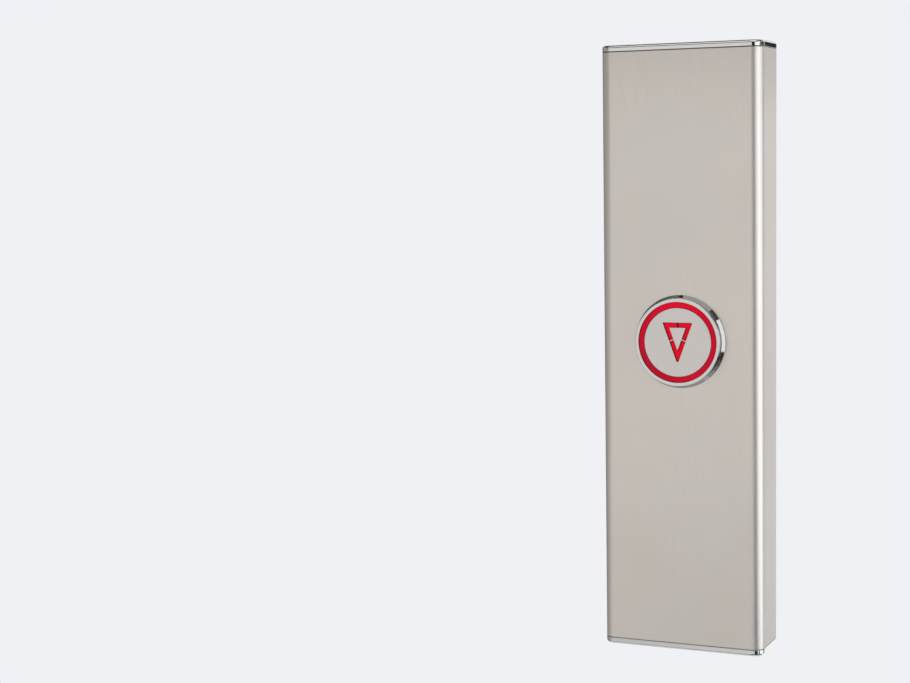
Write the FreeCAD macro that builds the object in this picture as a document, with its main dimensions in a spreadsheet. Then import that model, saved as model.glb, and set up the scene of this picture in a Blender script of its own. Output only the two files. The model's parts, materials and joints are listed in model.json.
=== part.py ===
import FreeCAD, Part
import math
import os
import re
import Sketcher

# Landing call station: a folded steel cover with one round lit push button, on a wall tray.
# The frame: +Z up, -Y out of the wall towards the user, origin on the wall behind mid-height.

# ---------------------------------------------------------------- driving dimensions, millimetres
dimensions = [
    # folded cover
    ("housing_width", 75, "cover, outside, left to right"),
    ("housing_depth", 26, "wall to the cover's front face"),
    ("cover_length", 270, "cover, top to bottom, between the end caps"),
    ("cover_sheet", 1.5, "cover sheet"),
    ("bend_radius", 4.9, "cover bends, outside"),
    ("wall_gap", 0.3, "cover's rear edge to the wall"),
    # end caps
    ("cap_thickness", 2.9, "end cap beyond the cover"),
    ("cap_edge", 1.2, "rounding of the cap's outer edge"),
    ("seam_edge", 0.25, "rounding of cap and cover along their seam"),
    ("cap_fit", 0.2, "spigot to cover"),
    ("spigot_depth", 6, "spigot inside the cover"),
    ("spigot_wall", 2, "spigot wall"),
    ("ear_width", 10, "fixing ear"),
    ("ear_thickness", 3, "fixing ear"),
    ("ear_reach", 17, "fixing ear, from the end of the cover"),
    ("ear_inset", 15.5, "middle of an ear from the cover's side"),
    ("ear_stud_inset", 13, "ear's stud from the end of the cover"),
    ("tongue_width", 14, "top cap's tongue"),
    ("tongue_thickness", 2, "top cap's tongue"),
    ("tongue_reach", 10, "tongue below the end of the cover"),
    ("tongue_setback", 8, "middle of the tongue from the wall"),
    ("tongue_gap", 0.6, "tongue in its slot, all round"),
    # wall tray
    ("tray_sheet", 1.5, "tray sheet"),
    ("tray_flange", 12, "height of the tray's flanges"),
    ("tray_bend", 2, "tray bends, outside"),
    ("tray_fit", 0.25, "tray flange to cover wall"),
    ("tray_end_gap", 0.5, "tray to the caps' spigots"),
    ("tray_notch", 3, "notch at each folded corner"),
    ("wall_hole", 5.2, "wall screw hole"),
    ("wall_spacing_x", 30, "wall screws, left to right"),
    ("wall_spacing_z", 190, "wall screws, top to bottom"),
    # cable entry
    ("entry_rise", 70, "cable entry above mid-height"),
    ("entry_bore", 15, "bush bore"),
    ("entry_hole", 20, "hole in the tray"),
    ("bush_flange", 24, "bush flange"),
    ("bush_flange_thickness", 1.5, "bush flange"),
    # security screw
    ("screw_setback", 6, "security screw from the wall"),
    ("screw_shank", 4, "security screw"),
    ("screw_head", 7.6, "security screw head"),
    ("screw_head_height", 2.2, "security screw head"),
    ("screw_sink", 0.2, "head below the cap's face"),
    ("screw_length", 14.5, "under the head"),
    ("socket_flats", 2.5, "hexagon socket across flats"),
    ("socket_depth", 1.4, "hexagon socket"),
    ("socket_pin", 1, "pin in the socket"),
    ("boss_diameter", 9, "bottom cap's screw boss"),
    ("clinch_body", 8, "clinch nut"),
    ("clinch_height", 3, "clinch nut inside the tray"),
    ("clinch_collar", 6, "clinch nut in its hole"),
    # clearances
    ("slide_gap", 0.3, "between moving and fixed pieces"),
    ("fit_gap", 0.1, "between fixed pieces that slip together"),
    ("thread_gap", 0.05, "between a screw and its thread"),
    ("hole_gap", 0.2, "around a screw in a plain hole"),
    # button bezel
    ("button_rise", 4.2, "button's middle above mid-height"),
    ("bezel_proud", 4.5, "bezel in front of the cover"),
    ("barrel_diameter", 38.6, "barrel through the cover"),
    ("barrel_wall", 1, "barrel wall"),
    ("barrel_length", 8, "barrel behind the cover's front face"),
    ("bezel_flare", 1.8, "bezel's foot beyond the barrel, all round"),
    ("bezel_front", 0.6, "bezel's neck beyond the barrel, all round"),
    ("bezel_foot", 1.5, "bezel's sloped foot in front of the cover"),
    ("bezel_lip", 0.2, "upright edge of the foot on the cover"),
    ("bezel_edge", 0.3, "rounding of the bezel's front edge"),
    ("key_width", 3, "key against turning"),
    ("key_height", 1, "key beyond the barrel"),
    ("gasket_width", 1.1, "gasket ring"),
    ("gasket_thickness", 0.5, "gasket ring"),
    ("washer_width", 3, "lock washer ring"),
    ("washer_thickness", 0.8, "lock washer"),
    ("tooth_gap", 1.2, "gap between two teeth of the lock washer"),
    ("tooth_count", 24, "teeth of the lock washer"),
    ("clamp_nut_width", 3.7, "ring nut beyond the barrel, all round"),
    ("clamp_nut_height", 4, "ring nut"),
    ("clamp_nut_notch", 4, "spanner notch width"),
    ("clamp_nut_notch_depth", 1.5, "spanner notch depth"),
    ("notch_count", 6, "spanner notches"),
    # halo lens and button housing
    ("halo_width", 2.4, "halo lens, width of its ring"),
    ("halo_recess", 0.7, "halo lens below the bezel's front"),
    ("halo_thickness", 1.5, "halo lens"),
    ("halo_skirt", 1, "wall of the lens's light-guide skirt"),
    ("halo_skirt_reach", 6, "skirt's end behind the cover's front face"),
    ("housing_wall", 0.75, "button housing wall"),
    ("floor_face", 9, "housing floor behind the cover's front face"),
    ("floor_thickness", 1.2, "housing floor"),
    ("housing_end", 15, "housing's rear end behind the cover's front face"),
    ("shoulder_height", 1.5, "housing shoulder behind the barrel"),
    ("lid_thickness", 1.2, "housing lid"),
    ("lid_screw", 1.8, "lid screw"),
    ("lid_screw_head", 3.6, "lid screw head"),
    ("lid_screw_head_height", 1.3, "lid screw head"),
    ("lid_screw_length", 4.5, "lid screw under its head"),
    ("lid_boss", 3.8, "lid screw boss"),
    ("window_width", 11.2, "window for the connector"),
    ("window_height", 7.4, "window for the connector"),
    # moving button
    ("disc_thickness", 1, "button disc"),
    ("disc_recess", 0.5, "disc below the bezel's front"),
    ("disc_gap", 0.2, "between the disc and the halo lens"),
    ("disc_edge", 0.2, "rounding of the disc's edge"),
    ("arrow_width", 13.9, "arrow, across its top"),
    ("arrow_depth", 18.8, "arrow, top to its sharp point"),
    ("arrow_rise", 8.9, "arrow's top above the disc's middle"),
    ("arrow_top_stroke", 2.25, "stroke of the top bar"),
    ("arrow_side_stroke", 2.1, "stroke of the side bars"),
    ("arrow_corner", 0.4, "rounding of the arrow's top corners"),
    ("arrow_tip", 0.6, "rounding of the arrow's tip"),
    ("side_bridge", 0.45, "stencil bridge in a side bar"),
    ("side_bridge_place", 11.1, "from the sharp point along the side bar"),
    ("top_slot", 0.9, "slot between the two lit halves of the top bar"),
    ("relief_hole", 1.1, "relief hole at the inner point"),
    ("arrow_inset", 0.8, "lit arrow below the disc's face"),
    ("arrow_fit", 0.12, "lit arrow in the stencil"),
    ("lens_rim", 1.8, "disc beyond the arrow lens base, all round"),
    ("lens_thickness", 1, "arrow lens base"),
    ("plate_thickness", 1.2, "plunger plate"),
    ("plunger_wall", 1.6, "plunger wall"),
    ("plunger_end", 3, "plunger wall's end behind the cover's front face"),
    ("push_boss", 5, "plunger boss on the switch"),
    ("leg_count", 3, "plunger legs"),
    ("leg_inset", 2.7, "middle of a leg from the inside of the plunger's wall"),
    ("leg_width", 4, "plunger leg"),
    ("leg_thickness", 1.6, "plunger leg"),
    ("leg_head", 0.4, "staked head beyond the leg, all round"),
    ("leg_head_height", 0.8, "staked head"),
    ("retainer_width", 3.6, "retaining ring"),
    ("retainer_thickness", 1.2, "retaining ring"),
    ("stop_gap", 0.1, "retaining ring to the housing floor at rest"),
    # switch and light board
    ("button_travel", 1.5, "stroke of the button"),
    ("light_board_thickness", 1.6, "light board"),
    ("light_board_gap", 0.2, "light board in the housing"),
    ("switch_width", 9, "switch body"),
    ("switch_height", 4.5, "switch body"),
    ("stem_diameter", 3.6, "switch stem"),
    ("stem_spare", 0.4, "stem in front of the switch body when pressed"),
    ("stem_collar", 5, "collar on the stem"),
    ("stem_collar_height", 1, "collar on the stem"),
    ("switch_lip", 0.8, "lip over the collar"),
    ("stem_room", 0.5, "behind the stem when pressed"),
    ("push_gap", 0.1, "plunger boss to the stem"),
    ("terminal_width", 1.2, "switch terminal"),
    ("terminal_length", 1.5, "switch terminal"),
    ("terminal_height", 0.4, "switch terminal"),
    ("terminal_pitch", 5, "between two switch terminals"),
    ("spring_diameter", 14.2, "return spring, mean"),
    ("spring_wire", 0.7, "return spring wire"),
    ("spring_turns", 5, "return spring"),
    ("spring_gap", 0.1, "spring to its seats"),
    ("halo_lights", 12, "lights under the halo"),
    ("light_edge", 0.1, "halo light from the board's edge"),
    ("light_length", 2, "halo light"),
    ("light_width", 1, "halo light"),
    ("light_height", 0.9, "halo light"),
    ("arrow_lights", 3, "lights under the arrow"),
    ("arrow_light_circle", 20, "arrow lights' circle"),
    ("arrow_light_length", 3.5, "arrow light"),
    ("arrow_light_width", 2.8, "arrow light"),
    # connectors
    ("header_width", 9.2, "connector housing"),
    ("header_height", 5.6, "connector housing"),
    ("header_length", 5.5, "connector housing"),
    ("header_wall", 0.8, "connector housing wall"),
    ("header_floor", 1.5, "connector housing floor"),
    ("contact_width", 0.5, "connector pin"),
    ("contact_pitch", 1.5, "connector pins"),
    ("contact_count", 4, "connector pins"),
    ("contact_length", 3, "connector pin"),
    ("plug_back", 5.3, "plug outside its connector"),
    ("plug_back_height", 6, "plug outside its connector"),
    # main board
    ("board_side_gap", 7.5, "board's edge from the cover's side"),
    ("board_end_gap", 19, "board's bottom edge from the end of the cover"),
    ("board_height", 80, "main board"),
    ("board_thickness", 1.6, "main board"),
    ("board_inset", 4, "board stud from the board's edges"),
    ("spacer_length", 8, "board spacer"),
    ("spacer_diameter", 5.5, "board spacer"),
    ("small_thread", 3, "small weld stud"),
    ("small_nut_flats", 5.5, "small nut"),
    ("small_nut_height", 2.4, "small nut"),
    ("stud_spare", 1.5, "stud beyond its nut"),
    ("terminal_poles", 5, "terminal block"),
    ("pole_pitch", 5.08, "terminal block"),
    ("block_height", 10, "terminal block"),
    ("block_depth", 10, "terminal block, top to bottom"),
    ("block_inset", 8, "terminal block's left end from the board's edge"),
    ("block_drop", 1, "terminal block and connector below the board's top edge"),
    ("clamp_width", 3.4, "wire clamp"),
    ("clamp_wall", 0.5, "wire clamp"),
    ("clamp_length", 5, "wire clamp"),
    ("clamp_rise", 4.2, "middle of the wire clamp above the board"),
    ("block_screw", 2.8, "terminal screw"),
    ("block_screw_length", 2.6, "terminal screw"),
    ("header_gap", 2, "board connector beside the terminal block"),
    ("chip_column", 10, "chips and crystal right of the middle"),
    ("power_column", 16, "regulator and capacitors left of the middle"),
    ("crystal_down", 30, "crystal below the board's top edge"),
    ("chip_down", 42, "main chip below the board's top edge"),
    ("driver_down", 62, "driver chip below the board's top edge"),
    ("capacitor_down", 26, "upper capacitor below the board's top edge"),
    ("regulator_down", 58, "regulator below the board's top edge"),
    ("upper_row_left", 2, "upper row of resistors, its left end from the middle"),
    ("upper_row_down", 52, "upper row of resistors below the board's top edge"),
    ("lower_row_left", 6, "lower row of resistors, its left end from the middle"),
    ("lower_row_rise", 4, "lower row of resistors above the board's bottom edge"),
    ("chip_width", 10, "main chip"),
    ("chip_height", 1.4, "main chip"),
    ("chip_leg_width", 0.4, "chip leg"),
    ("chip_leg_length", 1, "chip leg"),
    ("chip_leg_height", 0.5, "chip leg"),
    ("chip_leg_pitch", 1, "chip legs"),
    ("chip_side_legs", 8, "legs on a side of the chip"),
    ("driver_length", 10, "driver chip"),
    ("driver_width", 6, "driver chip"),
    ("driver_height", 1.8, "driver chip"),
    ("regulator_length", 10, "regulator"),
    ("regulator_width", 9, "regulator"),
    ("regulator_height", 4.5, "regulator"),
    ("capacitor_diameter", 8, "capacitor"),
    ("capacitor_height", 10, "capacitor"),
    ("capacitor_pitch", 14, "between the capacitors"),
    ("crystal_length", 10, "crystal can"),
    ("crystal_width", 4.5, "crystal can"),
    ("crystal_height", 3.5, "crystal can"),
    ("chip_part_length", 2, "chip resistor"),
    ("chip_part_width", 1.2, "chip resistor"),
    ("chip_part_height", 0.6, "chip resistor"),
    ("chip_part_pitch", 3.5, "chip resistors in a row"),
    ("chip_part_count", 6, "chip resistors in a row"),
    # earthing and leads
    ("earth_inset", 11.5, "earth studs from the cover's side"),
    ("cover_earth_rise", 52, "cover's earth stud above mid-height"),
    ("tray_earth_inset", 25, "tray's earth stud from the end of the cover"),
    ("earth_thread", 4, "earth stud"),
    ("earth_stud_length", 7, "earth stud"),
    ("earth_nut_flats", 7, "earth nut"),
    ("earth_nut_height", 3.2, "earth nut"),
    ("tag_diameter", 9, "ring tag and its washer"),
    ("tag_thickness", 0.8, "ring tag and its washer"),
    ("tag_neck", 3, "neck of the ring tag"),
    ("tag_root", 1, "neck into the ring"),
    ("tag_barrel", 3.4, "crimp barrel"),
    ("tag_barrel_start", 7, "crimp barrel from the stud"),
    ("tag_barrel_length", 6, "crimp barrel"),
    ("earth_lead_diameter", 2.2, "earth lead"),
    ("crimp_gap", 1, "mouth of the crimp barrel to the end of the lead"),
    ("button_lead_diameter", 2, "button lead"),
    ("earth_lead_run", 12.5, "straight run out of each ring tag"),
    ("button_lead_run", 16.5, "straight run down from the button's plug"),
    ("board_lead_run", 8.1, "straight run up from the main board's plug"),
]

os.makedirs("parts", exist_ok=True)
doc = FreeCAD.newDocument("landing_call_station")
sheet = doc.addObject("Spreadsheet::Sheet", "sizes")
for line, (alias, value, note) in enumerate(dimensions, 1):
    sheet.set(f"A{line}", note)
    sheet.set(f"B{line}", str(value))
    sheet.setAlias(f"B{line}", alias)
doc.recompute()

same_place = 0.001  # millimetres within which two places count as one
alias_word = re.compile(r"\b(" + "|".join(alias for alias, value, note in dimensions) + r")\b")


# ---------------------------------------------------------------- formulas
def formula(text):
    """The text with every size name made a reference to the sheet."""
    return alias_word.sub(r"sizes.\1", str(text))


def number(text):
    """What a formula comes to now."""
    return float(sheet.evalExpression(formula(text)))


def count(name):
    """A size that is a whole number of copies."""
    return int(round(number(name)))


def bind(item, **sizes):
    """Tie properties of an object to formulas."""
    for name, text in sizes.items():
        item.setExpression(name, formula(text))


def place(item, x="0", y="0", z="0"):
    """Tie an object's place to formulas."""
    for axis, text in zip("xyz", (x, y, z)):
        item.setExpression(f".Placement.Base.{axis}", formula(text))


# Places that several pieces share. Depths count back from the cover's front face.
def depth(text):
    return f"(-housing_depth + ({text}))"


cover_end = "(cover_length / 2)"
inner_face = depth("cover_sheet")
tray_width = "(housing_width - 2 * cover_sheet - 2 * tray_fit)"
tray_length = "(cover_length - 2 * spigot_depth - 2 * tray_end_gap)"
barrel = "(barrel_diameter / 2)"
bezel_bore = f"({barrel} - barrel_wall)"
bezel_neck = f"({barrel} + bezel_front)"
bezel_rim = f"({barrel} + bezel_flare)"
washer_face = "cover_sheet"
nut_face = "(cover_sheet + washer_thickness)"
halo_face = "(halo_recess - bezel_proud)"
halo_back = "(halo_recess - bezel_proud + halo_thickness)"
disc_face = "(disc_recess - bezel_proud)"
lens_face = "(disc_recess - bezel_proud + disc_thickness)"
plate_face = f"({lens_face} + lens_thickness)"
plate_back = f"({plate_face} + plate_thickness)"
housing_radius = f"({bezel_bore} - fit_gap)"
housing_bore = f"({housing_radius} - housing_wall)"
halo_bore = f"({housing_radius} - halo_width)"
disc_radius = f"({halo_bore} - disc_gap)"
plunger_bore = f"({disc_radius} - plunger_wall)"
leg_radius = f"({plunger_bore} - leg_inset)"
light_board_face = "(floor_face - light_board_thickness)"
switch_face = f"({light_board_face} - switch_height)"
stem_face = f"({switch_face} - button_travel - stem_spare)"
collar_face = f"({switch_face} + switch_lip + fit_gap)"
stem_back = f"({collar_face} + stem_collar_height)"
floor_back = "(floor_face + floor_thickness)"
retainer_face = f"({floor_back} + stop_gap)"
retainer_back = f"({retainer_face} + retainer_thickness)"
lid_back = "(housing_end + lid_thickness)"
lid_screw_side = f"({housing_radius} - housing_wall - lid_boss / 2 + fit_gap)"
plug_face = "(floor_face + header_length + fit_gap)"
plug_back_face = f"({plug_face} + plug_back)"
board_face = "(cover_sheet + spacer_length)"
board_back = f"({board_face} + board_thickness)"
board_side = "(housing_width / 2 - board_side_gap)"
board_low = "(board_end_gap - cover_length / 2)"
board_top = f"({board_low} + board_height)"
block_top = f"({board_top} - block_drop)"
block_left = f"(block_inset - {board_side})"
ear_side = "(housing_width / 2 - ear_inset)"


# ---------------------------------------------------------------- sketches and features
def origin_item(body, role):
    return next(item for item in body.Origin.OriginFeatures if item.Role == role)


def new_body(label, z="0"):
    body = doc.addObject("PartDesign::Body", label)
    body.Label = label
    place(body, z=z)
    return body


def new_sketch(body, role, offset="0"):
    """A sketch on one of the body's origin planes, moved along the plane's normal."""
    sketch = body.newObject("Sketcher::SketchObject", body.Name + "_sketch")
    sketch.AttachmentSupport = (origin_item(body, role), [""])
    sketch.MapMode = "FlatFace"
    sketch.setExpression(".AttachmentOffset.Base.z", formula(offset))
    return sketch


def fix(sketch, kind, item, point, text):
    """A dimension from the sketch's origin to a point, tied to a formula."""
    index = sketch.addConstraint(Sketcher.Constraint(kind, -1, 1, item, point, number(text)))
    sketch.setExpression(f"Constraints[{index}]", formula(text))


def outline(sketch, corners):
    """A closed outline through corners, each a pair of formulas."""
    points = [FreeCAD.Vector(number(x), number(y), 0) for x, y in corners]
    first = sketch.GeometryCount
    total = len(points)
    for step in range(total):
        sketch.addGeometry(Part.LineSegment(points[step], points[(step + 1) % total]))
    for step in range(total):
        after = first + (step + 1) % total
        sketch.addConstraint(Sketcher.Constraint("Coincident", first + step, 2, after, 1))
    for step, (x, y) in enumerate(corners):
        fix(sketch, "DistanceX", first + step, 1, x)
        fix(sketch, "DistanceY", first + step, 1, y)


def rectangle(sketch, left, right, low, high):
    outline(sketch, [(left, low), (right, low), (right, high), (left, high)])


def circle(sketch, radius, x="0", y="0"):
    middle = FreeCAD.Vector(number(x), number(y), 0)
    item = sketch.addGeometry(Part.Circle(middle, FreeCAD.Vector(0, 0, 1), number(radius)))
    index = sketch.addConstraint(Sketcher.Constraint("Radius", item, number(radius)))
    sketch.setExpression(f"Constraints[{index}]", formula(radius))
    fix(sketch, "DistanceX", item, 3, x)
    fix(sketch, "DistanceY", item, 3, y)


def volume(body):
    doc.recompute()
    return body.Shape.Volume


def pad(body, sketch, length, backwards=False):
    feature = body.newObject("PartDesign::Pad", body.Name + "_pad")
    feature.Profile = sketch
    feature.Reversed = backwards
    bind(feature, Length=length)
    doc.recompute()
    return feature


def pocket(body, sketch, length=None, backwards=False):
    """A cut to a length, or right through both ways, checked to remove something."""
    before = volume(body)
    feature = body.newObject("PartDesign::Pocket", body.Name + "_pocket")
    feature.Profile = sketch
    if length is None:
        feature.Type = "ThroughAll"
        feature.SideType = "Symmetric"
    else:
        feature.Reversed = backwards
        bind(feature, Length=length)
    if volume(body) >= before:
        raise RuntimeError(f"a pocket in {body.Label} cuts nothing")
    return feature


def revolve(body, sketch):
    feature = body.newObject("PartDesign::Revolution", body.Name + "_revolution")
    feature.Profile = sketch
    feature.ReferenceAxis = (sketch, ["V_Axis"])
    feature.Angle = 360
    doc.recompute()
    return feature


def around(body, feature, copies):
    """Copies of a feature around the body's Y axis."""
    pattern = body.newObject("PartDesign::PolarPattern", body.Name + "_pattern")
    pattern.Originals = [feature]
    pattern.Axis = (origin_item(body, "Y_Axis"), [""])
    pattern.Angle = 360
    pattern.Occurrences = copies
    body.Tip = pattern
    doc.recompute()
    return pattern


def fillet(body, radius, wanted):
    """Round the edges of the body's last feature whose middle points pass a test."""
    base = body.Tip
    edges = []
    for index, edge in enumerate(base.Shape.Edges, 1):
        middle = edge.valueAt((edge.FirstParameter + edge.LastParameter) / 2)
        if wanted(middle):
            edges.append(f"Edge{index}")
    feature = body.newObject("PartDesign::Fillet", body.Name + "_fillet")
    feature.Base = (base, edges)
    bind(feature, Radius=radius)
    doc.recompute()
    return feature


def near(value, text):
    return abs(value - number(text)) < same_place


def turned(label, corners, z="button_rise"):
    """A body of revolution about a Y axis: corners are (radius, depth) pairs."""
    body = new_body(label, z)
    sketch = new_sketch(body, "XY_Plane")
    outline(sketch, [(radius, depth(back)) for radius, back in corners])
    revolve(body, sketch)
    return body


def ring(label, inner, outer, front, back, z="button_rise"):
    return turned(label, [(inner, front), (outer, front), (outer, back), (inner, back)], z)


def face_sketch(body, back):
    """A sketch square to Y, at a depth behind the cover's front face."""
    return new_sketch(body, "XZ_Plane", f"housing_depth - ({back})")


# ---------------------------------------------------------------- primitives
def box(x, y, z, long, deep, high):
    """A block by its lowest corner and its three sizes."""
    item = doc.addObject("Part::Box", "block")
    bind(item, Length=long, Width=deep, Height=high)
    place(item, x, y, z)
    return item


def block(x, front, z, wide, thick, high):
    """A block centred on (x, z), from one depth behind the cover's face, thick towards the wall."""
    return box(f"({x}) - ({wide}) / 2", depth(front), f"({z}) - ({high}) / 2", wide, thick, high)


def turn_towards(item, axis):
    turns = {"y": (FreeCAD.Vector(1, 0, 0), -90), "z": (FreeCAD.Vector(0, 0, 1), 0)}
    item.Placement.Rotation = FreeCAD.Rotation(*turns[axis])


def rod(x, y, z, radius, length, axis="y"):
    """A cylinder from a point, along +Y or +Z."""
    item = doc.addObject("Part::Cylinder", "rod")
    bind(item, Radius=radius, Height=length)
    turn_towards(item, axis)
    place(item, x, y, z)
    return item


def prism(x, y, z, flats, length, axis="y"):
    """A hexagonal bar from a point, along +Y or +Z."""
    item = doc.addObject("Part::Prism", "hexagon")
    item.Polygon = 6
    bind(item, Circumradius=f"({flats}) / sqrt(3)", Height=length)
    turn_towards(item, axis)
    place(item, x, y, z)
    return item


def cut(base, tool):
    item = doc.addObject("Part::Cut", "cut")
    item.Base = base
    item.Tool = tool
    return item


def fuse(*pieces):
    item = doc.addObject("Part::MultiFuse", "joined")
    item.Shapes = list(pieces)
    return item


def group(label, pieces):
    """Separate solids that share one node."""
    item = doc.addObject("Part::Compound", label)
    item.Label = label
    item.Links = pieces
    return item


def named(label, item):
    item.Label = label
    return item


nodes = []


def node(item):
    """Mark an object as a sub-part: it is checked, and written to its own file."""
    nodes.append(item)
    return item


# ---------------------------------------------------------------- folded cover
def front_cover():
    body = new_body("front_cover")
    sheet_plan = new_sketch(body, "XY_Plane", "-cover_length / 2")
    rectangle(sheet_plan, "-housing_width / 2", "housing_width / 2", "-housing_depth", "-wall_gap")
    pad(body, sheet_plan, "cover_length")
    fillet(body, "bend_radius", lambda middle: near(middle.y, "-housing_depth")
           and near(middle.z, "0"))
    hollow = new_sketch(body, "XY_Plane")
    wall = "(housing_width / 2 - cover_sheet)"
    rectangle(hollow, f"-{wall}", wall, inner_face, "cover_sheet")
    pocket(body, hollow)
    fillet(body, "bend_radius - cover_sheet", lambda middle: near(middle.y, inner_face)
           and near(middle.z, "0") and near(abs(middle.x), wall))
    hole = new_sketch(body, "XZ_Plane")
    circle(hole, f"{barrel} + hole_gap", y="button_rise")
    pocket(body, hole)
    key = new_sketch(body, "XZ_Plane")
    side = "(key_width / 2 + hole_gap)"
    low = f"(button_rise - {barrel} - key_height - hole_gap)"
    rectangle(key, f"-{side}", side, low, f"button_rise - {barrel}")
    pocket(body, key)
    fillet(body, "seam_edge", lambda middle: near(abs(middle.z), cover_end)
           and near(middle.y, "-housing_depth"))
    return body


# ---------------------------------------------------------------- end caps
def end_cap(label):
    """Plate, spigot and two fixing ears, as at the top of the cover."""
    body = new_body(label)
    plate = new_sketch(body, "XY_Plane", cover_end)
    rectangle(plate, "-housing_width / 2", "housing_width / 2", "-housing_depth", "-wall_gap")
    pad(body, plate, "cap_thickness")
    fillet(body, "bend_radius", lambda middle: near(middle.y, "-housing_depth")
           and near(middle.z, f"{cover_end} + cap_thickness / 2"))
    fillet(body, "cap_edge", lambda middle: near(middle.z, f"{cover_end} + cap_thickness")
           and not near(middle.y, "-wall_gap"))
    fillet(body, "seam_edge", lambda middle: near(middle.z, cover_end)
           and not near(middle.y, "-wall_gap"))
    spigot = new_sketch(body, "XY_Plane", cover_end)
    side = "(housing_width / 2 - cover_sheet - cap_fit)"
    inside = f"({side} - spigot_wall)"
    front = depth("cover_sheet + cap_fit")
    behind = depth("cover_sheet + cap_fit + spigot_wall")
    outline(spigot, [(f"-{side}", front), (side, front), (side, "-wall_gap"),
                     (inside, "-wall_gap"), (inside, behind), (f"-{inside}", behind),
                     (f"-{inside}", "-wall_gap"), (f"-{side}", "-wall_gap")])
    pad(body, spigot, "spigot_depth", backwards=True)
    fillet(body, "bend_radius - cover_sheet - cap_fit", lambda middle: near(middle.y, front)
           and near(middle.z, f"{cover_end} - spigot_depth / 2"))
    for sign in ("-", ""):
        ear = new_sketch(body, "XY_Plane", cover_end)
        middle = f"{sign}{ear_side}"
        rectangle(ear, f"{middle} - ear_width / 2", f"{middle} + ear_width / 2",
                  front, f"{front} + ear_thickness")
        pad(body, ear, "ear_reach", backwards=True)
    holes = new_sketch(body, "XZ_Plane")
    for sign in ("-", ""):
        circle(holes, "small_thread / 2 + hole_gap", f"{sign}{ear_side}",
               f"{cover_end} - ear_stud_inset")
    pocket(body, holes)
    return body


def top_end_cap():
    body = end_cap("top_end_cap")
    tongue = new_sketch(body, "XY_Plane", cover_end)
    rectangle(tongue, "-tongue_width / 2", "tongue_width / 2",
              "-tongue_setback - tongue_thickness / 2", "-tongue_setback + tongue_thickness / 2")
    pad(body, tongue, "tongue_reach", backwards=True)
    return body


def upside_down(item):
    """Turn a piece made for the top end over to the bottom end."""
    item.Placement.Rotation = FreeCAD.Rotation(FreeCAD.Vector(0, 1, 0), 180)
    return item


def bottom_end_cap():
    body = end_cap("bottom_end_cap")
    boss = new_sketch(body, "XY_Plane", cover_end)
    circle(boss, "boss_diameter / 2", y="-screw_setback")
    pad(body, boss, "spigot_depth", backwards=True)
    hole = new_sketch(body, "XY_Plane")
    circle(hole, "screw_shank / 2 + hole_gap", y="-screw_setback")
    pocket(body, hole)
    seat = new_sketch(body, "XY_Plane", f"{cover_end} + cap_thickness")
    circle(seat, "screw_head / 2 + hole_gap", y="-screw_setback")
    pocket(body, seat, "screw_head_height + screw_sink")
    return upside_down(body)


def security_screw():
    top = f"({cover_end} + cap_thickness - screw_sink)"
    shoulder = f"({top} - screw_head_height)"
    head = rod("0", "-screw_setback", shoulder, "screw_head / 2", "screw_head_height", "z")
    shank = rod("0", "-screw_setback", f"{shoulder} - screw_length", "screw_shank / 2",
                "screw_length", "z")
    socket = prism("0", "-screw_setback", f"{top} - socket_depth", "socket_flats",
                   "socket_depth", "z")
    pin = rod("0", "-screw_setback", f"{top} - socket_depth", "socket_pin / 2",
              "socket_depth", "z")
    screw = cut(fuse(head, shank), cut(socket, pin))
    return named("security_screw", upside_down(screw))


def clinch_nut():
    outside = f"({tray_length} / 2)"
    inside = f"({outside} - tray_sheet)"
    flange = rod("0", "-screw_setback", f"{inside} - clinch_height", "clinch_body / 2",
                 "clinch_height", "z")
    collar = rod("0", "-screw_setback", inside, "clinch_collar / 2",
                 "tray_sheet - fit_gap", "z")
    bore = rod("0", "-screw_setback", f"{inside} - clinch_height",
               "screw_shank / 2 + thread_gap", "clinch_height + tray_sheet", "z")
    return named("clinch_nut", upside_down(cut(fuse(flange, collar), bore)))


# ---------------------------------------------------------------- wall tray
def wall_tray():
    body = new_body("wall_tray")
    side = f"({tray_width} / 2)"
    end = f"({tray_length} / 2)"
    shell = new_sketch(body, "XZ_Plane")
    rectangle(shell, f"-{side}", side, f"-{end}", end)
    pad(body, shell, "tray_flange")
    fillet(body, "tray_bend", lambda middle: near(middle.y, "0"))
    hollow = new_sketch(body, "XZ_Plane", "tray_flange")
    wall = f"({side} - tray_sheet)"
    rim = f"({end} - tray_sheet)"
    rectangle(hollow, f"-{wall}", wall, f"-{rim}", rim)
    pocket(body, hollow, "tray_flange - tray_sheet")
    fillet(body, "tray_bend - tray_sheet", lambda middle: near(middle.y, "-tray_sheet"))
    corners = new_sketch(body, "XZ_Plane")
    for left, right in ((f"-{side} - tray_notch", f"-{side} + tray_notch"),
                        (f"{side} - tray_notch", f"{side} + tray_notch")):
        rectangle(corners, left, right, f"{end} - tray_notch", f"{end} + tray_notch")
        rectangle(corners, left, right, f"-{end} - tray_notch", f"-{end} + tray_notch")
    pocket(body, corners)
    holes = new_sketch(body, "XZ_Plane")
    for across in ("-", ""):
        for up in ("-", ""):
            circle(holes, "wall_hole / 2", f"{across}wall_spacing_x / 2",
                   f"{up}wall_spacing_z / 2")
    circle(holes, "entry_hole / 2", y="entry_rise")
    pocket(body, holes)
    slot = new_sketch(body, "XY_Plane", end)
    half = "(tongue_thickness / 2 + tongue_gap)"
    rectangle(slot, "-tongue_width / 2 - tongue_gap", "tongue_width / 2 + tongue_gap",
              f"-tongue_setback - {half}", f"-tongue_setback + {half}")
    pocket(body, slot, "tray_sheet")
    seat = new_sketch(body, "XY_Plane", f"-{end}")
    circle(seat, "clinch_collar / 2 + thread_gap", y="-screw_setback")
    pocket(body, seat, "tray_sheet", backwards=True)
    return body


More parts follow.
